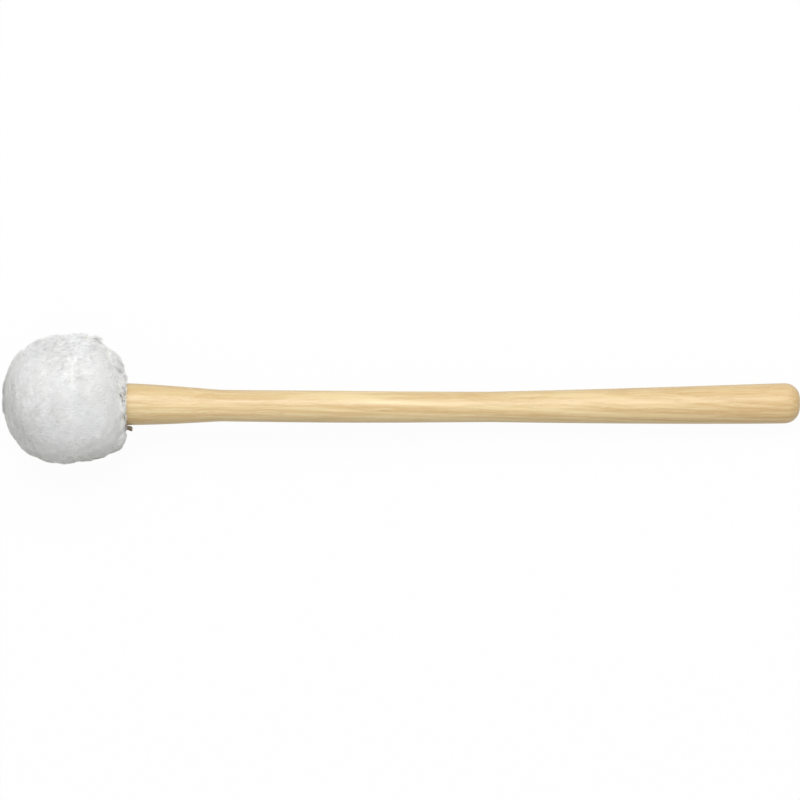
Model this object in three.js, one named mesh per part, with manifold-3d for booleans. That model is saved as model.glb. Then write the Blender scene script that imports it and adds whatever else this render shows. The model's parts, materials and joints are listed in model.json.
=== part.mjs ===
// Bass drum mallet: a turned hickory handle, with a ball head of felt discs under a gathered fleece cover.
// Millimetres. Every piece is drawn along +Y, from the butt of the handle to the front of the head.
import * as THREE from "three";
import { mergeVertices } from "three/addons/utils/BufferGeometryUtils.js";
import Module from "manifold-3d";

const wasm = await Module();
wasm.setup();

// Fits and cuts
const seatGap = 0.3; // between two pieces that touch
const overrun = 5; // how far a cutter reaches past what it cuts

// Handle: radii, and the length of each stretch from the butt to the shoulder
const gripRadius = 9.3;
const buttRound = 7; // how far the rounded butt reaches along the grip
const buttFlatRadius = 3; // the flat left by parting off
const gripLength = 143; // butt to waist
const waistRadius = 7;
const backLength = 76; // waist to the slight swell of the shaft
const swellRadius = 7.35;
const frontLength = 48; // swell to the foot of the flare
const flareFootRadius = 7.25;
const flareLength = 42;
const neckRadius = 9.55;
const neckLength = 12.2; // end of the flare to the shoulder
const neckRise = 0.25; // how much the neck still grows towards the shoulder
const tenonRadius = 6;
const tenonChamfer = 0.8;
const tenonRelief = 0.4; // the tenon stops short of the front washer, so that the washer grips felt
const pilotSpare = 1; // hole left beyond the tip of the screw

// Lead points of each smooth stretch of the handle, as shares of its rise and of its length
const gripLeadShares = [0, 0.13, 0.89, 0.89];
const backLeadShares = [0.1, 0.2, 1, 0.72];
const frontLeadShares = [0, 0.3, 1, 0.75];
const flareLeadShares = [0.087, 0.12, 0.85, 0.6];

// Core of the head: a ball cut into three felt discs, held between two washers by one screw
const coreRadius = 18.5;
const seatWasherThickness = 1.5;
const seatWasherInset = 0.6; // how much smaller than the shoulder the seat washer is
const frontWasherThickness = 1.2;
const frontWasherBearing = 1.4; // width of felt under the front washer
const screwShankRadius = 2;
const screwLength = 22;
const screwPoint = 4;
const screwHeadRadius = 4;
const screwHeadRim = 0.8; // straight edge of the head below its dome
const screwHeadHeight = 2;
const screwCover = 0.4; // how deep the head lies in the ball
const crossWidth = 0.9;
const crossReach = 2.1;
const crossDepth = 1.2;

// Soft layers over the core
const wrapWall = 2;
const clothWall = 1;
const pileSide = 7.45; // length of the pile at the widest round of the head
const pileFront = 6.45;
const pileRear = 6.45;
const pileLean = 2.6; // the pile stands fuller on one side
const rearFullness = 3.1; // exponent of the bluff rear half, where 2 is round
const lumpDepth = 0.4;
const lumpPitch = 17;
const patchDepth = 0.6; // how far the pile is pressed flat where the head rests

// Gathered hem: the cloth drawn in round the neck and bound with thread
const bindingBack = 2.4; // from the ball of the cloth to the first turn
const hemFree = 2.8; // cloth left past the last turn
const hemFlare = 0.6;
const hemPleatDepth = 0.8;
const boundPleatDepth = 0.2;
const pileGatherDepth = 1.1; // furrows in the rear wall of the pile
const threadRadius = 0.5;
const turnGap = 0.5;
const knotRadius = 0.9;
const knotLength = 2.2;
const knotShift = 0.4; // how far each knot stands aside from the turns

// Counts
const turns = 4;
const pleats = 12;
const lumpsRound = 7;
const turnSteps = 32;
const pleatSteps = 48;
const windingSteps = 24;
const windingSides = 6;
const curveSteps = 7;
const ballSteps = 12;
const discSteps = 4;

// Places along the handle
const waistAt = gripLength;
const swellAt = waistAt + backLength;
const flareAt = swellAt + frontLength;
const neckAt = flareAt + flareLength;
const shoulderAt = neckAt + neckLength;
const shoulderRadius = neckRadius + neckRise;

// Places in the core
const seatWasherRadius = shoulderRadius - seatWasherInset;
const seatWasherAt = shoulderAt + seatGap;
const coreAt = seatWasherAt + seatWasherThickness + seatGap;
const coreFlatRadius = seatWasherRadius + seatGap;
const coreHalf = Math.sqrt(coreRadius ** 2 - coreFlatRadius ** 2);
const headAt = coreAt + coreHalf;
const boreRadius = tenonRadius + seatGap;
const discThickness = (2 * coreHalf - 2 * seatGap) / 3;
const frontWasherRadius = boreRadius + frontWasherBearing;
const recessRadius = frontWasherRadius + seatGap;
const recessRimAt = headAt + Math.sqrt(coreRadius ** 2 - recessRadius ** 2);
const screwTopAt = recessRimAt - screwCover;
const screwSeatAt = screwTopAt - screwHeadHeight;
const frontWasherAt = screwSeatAt - seatGap - frontWasherThickness;
const recessFloorAt = frontWasherAt - seatGap;
const tenonEndAt = recessFloorAt - tenonRelief;
const screwTipAt = screwSeatAt - screwLength;
const pilotRadius = screwShankRadius + seatGap;
const pilotEndAt = screwTipAt - pilotSpare;

// Radii of the soft layers
const wrapInner = coreRadius + seatGap;
const wrapOuter = wrapInner + wrapWall;
const wrapMouth = shoulderRadius + 2 * seatGap;
const clothInner = wrapOuter + seatGap;
const clothOuter = clothInner + clothWall;
const pileInner = clothOuter + seatGap;
const pileRadius = pileInner + pileSide;

// The gathered hem and its binding
const hemInner = shoulderRadius + seatGap;
const hemOuter = hemInner + clothWall;
const clothNeckAt = headAt - Math.sqrt(clothOuter ** 2 - hemOuter ** 2);
const turnPitch = 2 * threadRadius + turnGap;
const bindingEndAt = clothNeckAt - bindingBack;
const bindingAt = bindingEndAt - turns * turnPitch;
const hemAt = bindingAt - threadRadius - hemFree;
const bindingRadius = hemOuter + boundPleatDepth + seatGap + threadRadius;
const knotPlace = hemOuter + boundPleatDepth + seatGap + knotRadius;
const knotReach = 2 * threadRadius + seatGap + knotLength;
const pileMouth = Math.hypot(knotPlace, knotReach) + knotRadius + seatGap;

const clamp = THREE.MathUtils.clamp;
const smoothstep = THREE.MathUtils.smoothstep;

// A point of an outline: its radius, and its place along the axis.
const at = (radius, place) => new THREE.Vector2(radius, place);

// A piece turned about the axis, with a flat of its outline facing down.
function turned(outline, steps = turnSteps) {
  return new THREE.LatheGeometry(outline, steps, Math.PI / steps);
}

// Points on a ball about a place on the axis, between two other places.
function ballPoints(radius, centre, from, to, steps) {
  const angleOf = (place) => Math.asin(clamp((place - centre) / radius, -1, 1));
  return Array.from({ length: steps + 1 }, (_, i) => {
    const angle = THREE.MathUtils.lerp(angleOf(from), angleOf(to), i / steps);
    return at(radius * Math.cos(angle), centre + radius * Math.sin(angle));
  });
}

// One smooth stretch of an outline, with its two lead points given as shares of its rise and length.
function sweepTo(path, radius, place, [riseA, runA, riseB, runB]) {
  const { x, y } = path.currentPoint;
  const rise = radius - x;
  const run = place - y;
  path.bezierCurveTo(x + rise * riseA, y + run * runA, x + rise * riseB, y + run * runB, radius, place);
}

// The handle's outline from the parting flat round the butt, along the shaft and up the flare.
function shaftOutline() {
  const path = new THREE.Path();
  path.moveTo(0, 0);
  path.lineTo(buttFlatRadius, 0);
  path.absellipse(buttFlatRadius, buttRound, gripRadius - buttFlatRadius, buttRound, -Math.PI / 2, 0);
  sweepTo(path, waistRadius, waistAt, gripLeadShares);
  sweepTo(path, swellRadius, swellAt, backLeadShares);
  sweepTo(path, flareFootRadius, flareAt, frontLeadShares);
  sweepTo(path, neckRadius, neckAt, flareLeadShares);
  path.lineTo(shoulderRadius, shoulderAt);
  return path.getPoints(curveSteps);
}

// The handle: shaft, shoulder, tenon and the pilot hole for the screw.
function handle() {
  return turned([
    ...shaftOutline(),
    at(tenonRadius, shoulderAt),
    at(tenonRadius, tenonEndAt - tenonChamfer),
    at(tenonRadius - tenonChamfer, tenonEndAt),
    at(pilotRadius, tenonEndAt),
    at(pilotRadius, pilotEndAt),
    at(0, pilotEndAt - pilotRadius),
  ]);
}

// A flat ring from one place to another.
function ring(inner, outer, from, thickness) {
  const to = from + thickness;
  return turned([at(inner, from), at(outer, from), at(outer, to), at(inner, to), at(inner, from)]);
}

// A disc of the felt ball, bored for the tenon.
function coreDisc(index) {
  const from = coreAt + index * (discThickness + seatGap);
  const to = from + discThickness;
  return turned([
    at(boreRadius, from),
    ...ballPoints(coreRadius, headAt, from, to, discSteps),
    at(boreRadius, to),
    at(boreRadius, from),
  ]);
}

// The front disc closes the ball, and is sunk for the washer and the head of the screw.
function frontDisc() {
  const from = coreAt + 2 * (discThickness + seatGap);
  return turned([
    at(boreRadius, from),
    ...ballPoints(coreRadius, headAt, from, recessRimAt, discSteps),
    at(recessRadius, recessFloorAt),
    at(boreRadius, recessFloorAt),
    at(boreRadius, from),
  ]);
}

// A closed geometry as a solid that can be cut.
function solidOf(geometry) {
  const bare = geometry.clone();
  bare.deleteAttribute("normal");
  bare.deleteAttribute("uv");
  const merged = mergeVertices(bare);
  return new wasm.Manifold(
    new wasm.Mesh({
      numProp: 3,
      vertProperties: merged.attributes.position.array,
      triVerts: new Uint32Array(merged.index.array),
    }),
  );
}

// A solid as a geometry again.
function geometryOf(solid) {
  const { vertProperties, triVerts, numProp } = solid.getMesh();
  return new THREE.BufferGeometry()
    .setAttribute("position", new THREE.BufferAttribute(vertProperties, numProp))
    .setIndex(new THREE.BufferAttribute(triVerts, 1));
}

// A pan-head wood screw with a cross recess.
function coreScrew() {
  const dome = new THREE.Path();
  dome.moveTo(screwHeadRadius, screwSeatAt + screwHeadRim);
  dome.quadraticCurveTo(screwHeadRadius, screwTopAt, crossReach, screwTopAt);
  const body = turned([
    at(0, screwTipAt),
    at(screwShankRadius, screwTipAt + screwPoint),
    at(screwShankRadius, screwSeatAt),
    at(screwHeadRadius, screwSeatAt),
    ...dome.getPoints(curveSteps),
    at(0, screwTopAt),
  ]);
  const depth = crossDepth + overrun;
  const slot = new THREE.BoxGeometry(2 * crossReach, depth, crossWidth);
  slot.translate(0, screwTopAt - crossDepth + depth / 2, 0);
  const across = slot.clone().rotateY(Math.PI / 2);
  return geometryOf(solidOf(body).subtract(solidOf(slot)).subtract(solidOf(across)));
}

// The felt wrap: an even layer over the ball, open at the shoulder.
function feltWrap() {
  const innerMouthAt = headAt - Math.sqrt(wrapInner ** 2 - wrapMouth ** 2);
  const outerMouthAt = headAt - Math.sqrt(wrapOuter ** 2 - wrapMouth ** 2);
  return turned([
    ...ballPoints(wrapInner, headAt, headAt + wrapInner, innerMouthAt, ballSteps),
    ...ballPoints(wrapOuter, headAt, outerMouthAt, headAt + wrapOuter, ballSteps),
  ]);
}

// How deep the pleats of the hem are at a place: shallow under the thread and deeper at the free edge.
function pleatAt(place) {
  const loose = 1 - smoothstep(place, hemAt, bindingAt);
  const drawn = 1 - smoothstep(place, bindingEndAt, clothNeckAt);
  return hemPleatDepth * loose + boundPleatDepth * (1 - loose) * drawn;
}

// The ground cloth of the cover: a bag over the wrap, pleated where it is drawn in round the neck.
function coverCloth() {
  const innerNeckAt = headAt - Math.sqrt(clothInner ** 2 - hemInner ** 2);
  const neckPlaces = [bindingEndAt, (bindingAt + bindingEndAt) / 2, bindingAt, (hemAt + bindingAt) / 2, hemAt];
  const outline = [
    ...ballPoints(clothInner, headAt, headAt + clothInner, innerNeckAt, ballSteps),
    ...neckPlaces.map((place) => at(hemInner, place)),
    ...neckPlaces.toReversed().map((place) => at(hemOuter, place)),
    ...ballPoints(clothOuter, headAt, clothNeckAt, headAt + clothOuter, ballSteps),
  ];
  return shaped(turned(outline, pleatSteps), (point) => {
    const round = Math.atan2(point.x, point.z);
    const spread = hemFlare * (1 - smoothstep(point.y, hemAt, bindingAt)) ** 2;
    const pleat = (pleatAt(point.y) * (1 + Math.cos(pleats * round))) / 2;
    swell(point, spread + pleat);
  });
}

// Each point of a geometry moved by a rule that is given the point and its row in the outline.
function shaped(geometry, rule) {
  const positions = geometry.attributes.position;
  const rows = geometry.parameters.points.length;
  const point = new THREE.Vector3();
  for (let i = 0; i < positions.count; i++) {
    rule(point.fromBufferAttribute(positions, i), i % rows);
    positions.setXYZ(i, point.x, point.y, point.z);
  }
  return geometry;
}

// A point moved out from the axis.
function swell(point, distance) {
  const radius = Math.hypot(point.x, point.z);
  const share = radius > 0 ? distance / radius : 0;
  point.x += point.x * share;
  point.z += point.z * share;
}

// The outside of the pile, from its mouth at the neck over the bluff rear and the round front.
function pileOutline() {
  const rearReach = pileInner + pileRear;
  const frontReach = pileInner + pileFront;
  const mouthAngle = Math.asin((pileMouth / pileRadius) ** (rearFullness / 2));
  const rear = Array.from({ length: ballSteps }, (_, i) => {
    const angle = THREE.MathUtils.lerp(mouthAngle, Math.PI / 2, i / ballSteps);
    const power = 2 / rearFullness;
    return at(pileRadius * Math.sin(angle) ** power, headAt - rearReach * Math.cos(angle) ** power);
  });
  const front = Array.from({ length: ballSteps + 1 }, (_, i) => {
    const angle = (Math.PI / 2) * (1 - i / ballSteps);
    return at(pileRadius * Math.sin(angle), headAt + frontReach * Math.cos(angle));
  });
  return [...rear, ...front];
}

// The pile of the fleece: a thick soft coat with low lumps, furrows where it is gathered, and a lean.
function fleecePile() {
  const innerMouthAt = headAt - Math.sqrt(pileInner ** 2 - pileMouth ** 2);
  const inside = ballPoints(pileInner, headAt, headAt + pileInner, innerMouthAt, ballSteps);
  const outside = pileOutline();
  const rearAt = outside[0].y;
  const coat = shaped(turned([...inside, ...outside], pleatSteps), (point, row) => {
    if (row < inside.length) return;
    const round = Math.atan2(point.x, point.z);
    const width = Math.hypot(point.x, point.z) / pileRadius;
    const along = (2 * Math.PI * (point.y - headAt)) / lumpPitch;
    const mouth = 1 - smoothstep(point.y, rearAt, rearAt + pileSide);
    const body = smoothstep(point.y, rearAt, headAt);
    swell(point, lumpDepth * width * body * Math.cos(lumpsRound * round + along) * Math.cos(along));
    point.y += (pileGatherDepth * mouth * (1 + Math.cos(pleats * round))) / 2;
    point.x += pileLean * body;
  });
  return geometryOf(solidOf(coat).subtract(floorBlock()));
}

// The turns of thread that bind the hem: a helix with a straight end of one diameter at each side.
class Winding extends THREE.Curve {
  steps = turns * windingSteps;

  // The helix at a number of steps from its start.
  onHelix(step, target) {
    const round = Math.PI + (2 * Math.PI * step) / windingSteps;
    const place = bindingAt + (turnPitch * step) / windingSteps;
    return target.set(bindingRadius * Math.sin(round), place, bindingRadius * Math.cos(round));
  }

  // The direction of the helix at a number of steps from its start.
  direction(step) {
    const round = Math.PI + (2 * Math.PI * step) / windingSteps;
    const climb = turnPitch / (2 * Math.PI);
    return new THREE.Vector3(
      bindingRadius * Math.cos(round), climb, -bindingRadius * Math.sin(round),
    ).normalize();
  }

  getPoint(t, target = new THREE.Vector3()) {
    const step = t * (this.steps + 2) - 1;
    const nearest = clamp(step, 0, this.steps);
    this.onHelix(nearest, target);
    return target.addScaledVector(this.direction(nearest), 2 * threadRadius * (step - nearest));
  }

  // The steps are kept as they are counted, so that the straight ends are one step each.
  getUtoTmapping(u) {
    return u;
  }
}

// The least gap between the turns of a winding, measured on its points.
function leastGap(winding) {
  const points = winding.getPoints(winding.steps + 2);
  const apart = windingSteps / 2;
  let least = Infinity;
  points.forEach((point, i) => {
    for (const other of points.slice(i + apart)) least = Math.min(least, point.distanceTo(other));
  });
  return least - 2 * threadRadius;
}

// The thread itself, one unbroken tube along the winding.
function gatheringThread(winding) {
  const section = new THREE.Shape(
    Array.from({ length: windingSides }, (_, i) => {
      const angle = (2 * Math.PI * i) / windingSides;
      return new THREE.Vector2(threadRadius * Math.cos(angle), threadRadius * Math.sin(angle));
    }),
  );
  const steps = winding.steps + 2;
  return new THREE.ExtrudeGeometry(section, { steps, extrudePath: winding, bevelEnabled: false });
}

// A small hard knot, drawn along +Y from the face that meets the thread.
function knot() {
  const swellOf = (share) => Math.sqrt(Math.sin(Math.PI * share));
  const outline = Array.from({ length: curveSteps + 1 }, (_, i) => {
    const share = i / curveSteps;
    return at(threadRadius + (knotRadius - threadRadius) * swellOf(share), knotLength * share);
  });
  return turned([at(0, 0), ...outline, at(0, knotLength)], 2 * curveSteps);
}

// A knot set off one end of the winding, in line with the thread and standing on the cloth.
function placedKnot(winding, step, side) {
  const direction = winding.direction(step).multiplyScalar(side);
  const start = winding.onHelix(step, new THREE.Vector3());
  swell(start, knotPlace - bindingRadius);
  start.y += side * knotShift;
  start.addScaledVector(direction, 2 * threadRadius + seatGap);
  const mesh = new THREE.Mesh(knot());
  mesh.position.copy(start);
  mesh.quaternion.setFromUnitVectors(new THREE.Vector3(0, 1, 0), direction);
  return mesh;
}

// The height of the middle of the head above the floor, with the pile pressed flat under it.
const headHeight = pileRadius - patchDepth;

// The slope at which the mallet lies, resting on the pile and on the lower edge of the butt.
function restSlope() {
  const flat = Math.cos(Math.PI / turnSteps);
  const edge = shaftOutline();
  let slope = Math.asin(headHeight / headAt);
  for (let pass = 0; pass < curveSteps; pass++) {
    const heightOf = (point) => point.y * Math.sin(slope) - point.x * flat * Math.cos(slope);
    const lowest = edge.reduce((a, b) => (heightOf(b) < heightOf(a) ? b : a));
    slope = Math.asin((headHeight - lowest.x * flat * Math.cos(slope)) / (headAt - lowest.y));
  }
  return slope;
}

const slope = restSlope();

// A block under the head whose top is the floor, drawn in the handle's own lie.
function floorBlock() {
  const width = 2 * pileRadius + 2 * overrun;
  const block = new THREE.BoxGeometry(width, width, width);
  block.translate(0, 0, -headHeight - width / 2);
  block.rotateX(-slope);
  block.translate(0, headAt, 0);
  return solidOf(block);
}

// Finishes: colour, roughness and metalness
const finish = (color, roughness, metalness = 0) =>
  new THREE.MeshStandardMaterial({ color, roughness, metalness });
const hickory = () => finish(0xe6cd9f, 0.4);
const whitePile = () => finish(0xe6e8e6, 0.95);
const groundCloth = () => finish(0xb9b2a4, 0.9);
const feltFinish = () => finish(0xd8d3c6, 0.95);
const fibre = () => finish(0x6a4a35, 0.8);
const steel = () => finish(0xb8babc, 0.35, 1);
const waxedThread = () => finish(0xe9e4d6, 0.6);

const piece = (name, geometry, material) => {
  const mesh = geometry.isMesh ? geometry : new THREE.Mesh(geometry);
  mesh.name = name;
  mesh.material = material;
  return mesh;
};

const winding = new Winding();
console.log(`thread: ${turns} turns, least gap between turns ${leastGap(winding).toFixed(3)} mm`);

// The mallet along its own axis, with the handle's +Y towards the head
const alongAxis = new THREE.Group();
alongAxis.add(
  piece("handle", handle(), hickory()),
  piece("seat_washer", ring(boreRadius, seatWasherRadius, seatWasherAt, seatWasherThickness), fibre()),
  piece("core_disc_rear", coreDisc(0), feltFinish()),
  piece("core_disc_middle", coreDisc(1), feltFinish()),
  piece("core_disc_front", frontDisc(), feltFinish()),
  piece("front_washer", ring(pilotRadius, frontWasherRadius, frontWasherAt, frontWasherThickness), steel()),
  piece("core_screw", coreScrew(), steel()),
  piece("felt_wrap", feltWrap(), feltFinish()),
  piece("cover_cloth", coverCloth(), groundCloth()),
  piece("fleece_pile", fleecePile(), whitePile()),
  piece("gathering_thread", gatheringThread(winding), waxedThread()),
  piece("thread_start_knot", placedKnot(winding, 0, -1), waxedThread()),
  piece("thread_end_knot", placedKnot(winding, winding.steps, 1), waxedThread()),
);

// Laid down with the head towards -X, then raised at the head to its resting slope
alongAxis.rotation.z = Math.PI / 2;
const mallet = new THREE.Group();
mallet.add(alongAxis);
mallet.rotation.y = slope;

// Set on the floor, with the origin at the bottom centre of the box round the mallet
mallet.updateMatrixWorld(true);
const middle = new THREE.Box3().setFromObject(mallet, true).getCenter(new THREE.Vector3());
mallet.position.set(-middle.x, -middle.y, headHeight - headAt * Math.sin(slope));

export default mallet;
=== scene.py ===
"""Bass drum mallet: a turned, lacquered hickory handle with a gathered fleece head.

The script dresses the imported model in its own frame, in metres. The handle, the felt wrap, the ground
cloth, the thread with its knots and the fleece are modelled here, and the rest of the head keeps its nodes.
"""

import json
import logging
import math
from collections.abc import Callable, Sequence
from dataclasses import dataclass
from enum import Enum
from typing import Any

import bpy
import numpy as np
from bpy.types import Material, Node, NodeSocket, NodeTree, Object
from mathutils import Matrix, Vector
from mathutils.geometry import interpolate_bezier


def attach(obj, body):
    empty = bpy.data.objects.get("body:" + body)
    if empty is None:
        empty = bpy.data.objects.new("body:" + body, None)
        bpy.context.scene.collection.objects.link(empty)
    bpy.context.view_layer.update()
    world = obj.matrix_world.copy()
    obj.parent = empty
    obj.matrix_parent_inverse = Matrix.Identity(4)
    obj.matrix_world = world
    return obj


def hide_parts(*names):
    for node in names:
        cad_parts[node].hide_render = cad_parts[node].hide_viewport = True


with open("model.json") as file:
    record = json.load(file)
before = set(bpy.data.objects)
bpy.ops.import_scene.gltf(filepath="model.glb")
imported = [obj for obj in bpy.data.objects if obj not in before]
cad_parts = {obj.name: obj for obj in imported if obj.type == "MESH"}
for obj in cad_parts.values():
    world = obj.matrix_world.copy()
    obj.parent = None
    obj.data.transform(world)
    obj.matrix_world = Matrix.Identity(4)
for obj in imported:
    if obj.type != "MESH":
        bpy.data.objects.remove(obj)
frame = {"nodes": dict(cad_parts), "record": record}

MM = 0.001
BODY = "root"
log = logging.getLogger("mallet")

Colour = tuple[float, float, float, float]
Outline = list[tuple[float, float]]
Rng = np.random.Generator


class Slot(Enum):
    """The record's material slots."""

    WOOD = "hickory"
    WRAP = "wrap_felt"
    CLOTH = "ground_cloth"
    FLEECE = "fleece"
    THREAD = "binding_thread"


def srgb(red: int, green: int, blue: int) -> Colour:
    """Turns a screen colour, each part from 0 to 255, into the linear colour that a socket takes."""
    linear = [((c / 255 + 0.055) / 1.055) ** 2.4 if c > 10 else c / 255 / 12.92 for c in (red, green, blue)]
    return (*linear, 1.0)


def smooth(value: np.ndarray, low: float, high: float) -> np.ndarray:
    """A smooth step from 0 at low to 1 at high."""
    share = np.clip((value - low) / (high - low), 0, 1)
    return share * share * (3 - 2 * share)


def bell(value: np.ndarray, width: float) -> np.ndarray:
    """A bell curve, 1 where the value is 0 and almost 0 at twice the width."""
    return np.exp(-((value / width) ** 2))


def turn_from(start: float, turn: np.ndarray) -> np.ndarray:
    """The turn from a start to each angle, the short way round."""
    return np.angle(np.exp(1j * (turn - start)))


def unit(rows: np.ndarray) -> np.ndarray:
    """Scales each row to a length of one."""
    return rows / np.maximum(np.linalg.norm(rows, axis=1), 1e-12)[:, None]


@dataclass(frozen=True)
class Lie:
    """How the mallet lies: its butt, and the directions along it, to its side and up from it."""

    butt: Vector
    along: Vector

    @classmethod
    def from_record(cls, record: dict[str, Any]) -> "Lie":
        """Reads the lie from the record's mount on the butt."""
        mount = next(m for m in record["mounts"] if m["name"] == "butt_end")
        return cls(Vector(mount["pos_m"]), -Vector(mount["axis"]).normalized())

    @property
    def side(self) -> Vector:
        """The level direction across the handle."""
        return Vector((0, 1, 0))

    @property
    def up(self) -> Vector:
        """The direction up from the handle, square to it."""
        return self.side.cross(self.along).normalized()

    @property
    def matrix(self) -> Matrix:
        """Places a piece drawn up its own Z axis from the butt."""
        columns = Matrix((self.side, -self.up, self.along)).transposed()
        return Matrix.Translation(self.butt) @ columns.to_4x4()

    def on_axis(self, along: float) -> np.ndarray:
        """Gives the point of the axis at a place along the handle."""
        return np.array(self.butt + self.along * along)

    def place(self, radius: float, turn: float, along: float) -> Vector:
        """Gives a point by its radius, its turn from the top and its place along the handle."""
        out = self.side * math.sin(turn) + self.up * math.cos(turn)
        return self.butt + self.along * along + out * radius

    def cylindrical(self, points: np.ndarray) -> tuple[np.ndarray, np.ndarray, np.ndarray]:
        """Splits points into radius, turn from the top and place along the handle.

        Args:
            points: The points, one row each.

        Returns:
            The radii, the turns and the places.
        """
        local = points - np.array(self.butt)
        along, side, up = (local @ np.array(way) for way in (self.along, self.side, self.up))
        return np.hypot(side, up), np.arctan2(side, up), along


class Sculpt:
    """Edit-mode modelling: pieces that are turned, and points that are read and written."""

    @staticmethod
    def start(name: str) -> Object:
        """Starts a piece as one point at the origin, ready to be extruded.

        Args:
            name: The piece's name.

        Returns:
            The new object, in edit mode.
        """
        bpy.ops.object.select_all(action="DESELECT")
        bpy.ops.mesh.primitive_plane_add(size=MM)
        piece = bpy.context.object
        piece.name = piece.data.name = name
        bpy.ops.object.mode_set(mode="EDIT")
        bpy.ops.mesh.select_all(action="SELECT")
        bpy.ops.mesh.merge(type="CENTER")
        return piece

    @classmethod
    def turned(cls, name: str, outline: Outline, steps: int, lie: Lie) -> Object:
        """Turns an outline about the mallet's axis.

        Args:
            name: The piece's name.
            outline: Radius and place along the handle of each point, in order.
            steps: Faces round the axis.
            lie: How the mallet lies.

        Returns:
            The turned piece, in its place.
        """
        piece = cls.start(name)
        here = Vector((0, 0, 0))
        for radius, along in outline:
            there = Vector((radius, 0, along))
            bpy.ops.mesh.extrude_region_move(TRANSFORM_OT_translate={"value": there - here})
            here = there
        mesh = piece.data
        bpy.ops.object.mode_set(mode="OBJECT")
        mesh.vertices.foreach_set("select", [v.index == 0 for v in mesh.vertices])
        bpy.ops.object.mode_set(mode="EDIT")
        bpy.ops.mesh.delete(type="VERT")
        bpy.ops.mesh.select_all(action="SELECT")
        bpy.ops.mesh.spin(steps=steps, angle=math.tau, center=(0, 0, 0), axis=(0, 0, 1))
        bpy.ops.mesh.select_all(action="SELECT")
        bpy.ops.mesh.remove_doubles(threshold=MM / 1000)
        bpy.ops.mesh.normals_make_consistent(inside=False)
        bpy.ops.object.mode_set(mode="OBJECT")
        piece.matrix_world = lie.matrix
        bpy.ops.object.transform_apply(location=True, rotation=True, scale=True)
        bpy.ops.object.shade_smooth()
        return piece

    @staticmethod
    def read(items: Any, name: str, width: int = 1, kind: type = np.int32) -> np.ndarray:
        """Reads one property of all the points, corners or faces of a mesh.

        Args:
            items: The points, corners or faces.
            name: The property.
            width: How many numbers it holds for each.
            kind: The type of number.

        Returns:
            The numbers, in one row.
        """
        flat = np.empty(len(items) * width, kind)
        items.foreach_get(name, flat)
        return flat

    @classmethod
    def points(cls, piece: Object) -> np.ndarray:
        """Reads a piece's points, one row each."""
        return cls.read(piece.data.vertices, "co", 3, float).reshape(-1, 3)

    @classmethod
    def triangles(cls, piece: Object) -> np.ndarray:
        """Cuts a piece's faces into triangles, in an order that is the same in every run.

        Args:
            piece: The piece, whose faces have three or four sides.

        Returns:
            Three point numbers for each triangle.
        """
        mesh = piece.data
        corners = cls.read(mesh.loops, "vertex_index")
        starts, sides = (cls.read(mesh.polygons, name) for name in ("loop_start", "loop_total"))
        found = []
        for count in (3, 4):
            faces = corners[starts[sides == count][:, None] + np.arange(count)]
            first = faces.argmin(axis=1)[:, None]
            faces = np.take_along_axis(faces, (first + np.arange(count)) % count, axis=1)
            found += [faces[:, (0, corner, corner + 1)] for corner in range(1, count - 1)]
        rows = np.vstack(found)
        return rows[np.lexsort(rows.T[::-1])]

    @classmethod
    def normals(cls, piece: Object) -> np.ndarray:
        """Works out the smooth normal at each point of a piece, alike to the last digit in every run.

        Args:
            piece: The piece.

        Returns:
            A unit normal for each point, each face counted by its angle at the point.
        """
        points, faces = cls.points(piece), cls.triangles(piece)
        corners = [points[faces[:, corner]] for corner in range(3)]
        square = unit(np.cross(corners[1] - corners[0], corners[2] - corners[0]))
        total = np.zeros_like(points)
        for corner in range(3):
            here, after, before = (corners[(corner + step) % 3] for step in range(3))
            angle = np.arccos(np.clip(np.sum(unit(after - here) * unit(before - here), axis=1), -1, 1))
            for axis in range(3):
                total[:, axis] += np.bincount(faces[:, corner], square[:, axis] * angle, len(points))
        return unit(total)

    @staticmethod
    def move(piece: Object, points: np.ndarray) -> None:
        """Writes a piece's points."""
        piece.data.vertices.foreach_set("co", points.ravel())
        piece.data.update()

    @staticmethod
    def mark(piece: Object, name: str, values: np.ndarray) -> None:
        """Stores one number for each point of a piece, for its material to read."""
        attribute = piece.data.attributes.new(name, "FLOAT", "POINT")
        attribute.data.foreach_set("value", values.astype(np.float32))

    @staticmethod
    def from_arrays(name: str, points: np.ndarray, faces: list[list[int]]) -> Object:
        """Makes an object of points and faces that were worked out as arrays.

        Args:
            name: The piece's name.
            points: The points, one row each.
            faces: The corners of each face.

        Returns:
            The new object, smooth-shaded and linked to the scene.
        """
        mesh = bpy.data.meshes.new(name)
        mesh.from_pydata(points.tolist(), [], faces)
        mesh.polygons.foreach_set("use_smooth", [True] * len(mesh.polygons))
        mesh.update()
        piece = bpy.data.objects.new(name, mesh)
        bpy.context.scene.collection.objects.link(piece)
        return piece


def dress(piece: Object, material: Material, node: str) -> Object:
    """Gives a new piece its material and its body, and hides the node that it stands for.

    Args:
        piece: The finished piece.
        material: Its material.
        node: The node that it replaces.

    Returns:
        The same piece.
    """
    piece.data.materials.clear()
    piece.data.materials.append(material)
    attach(piece, BODY)
    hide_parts(node)
    log.info("%s: %d faces", piece.name, len(piece.data.polygons))
    return piece


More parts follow.
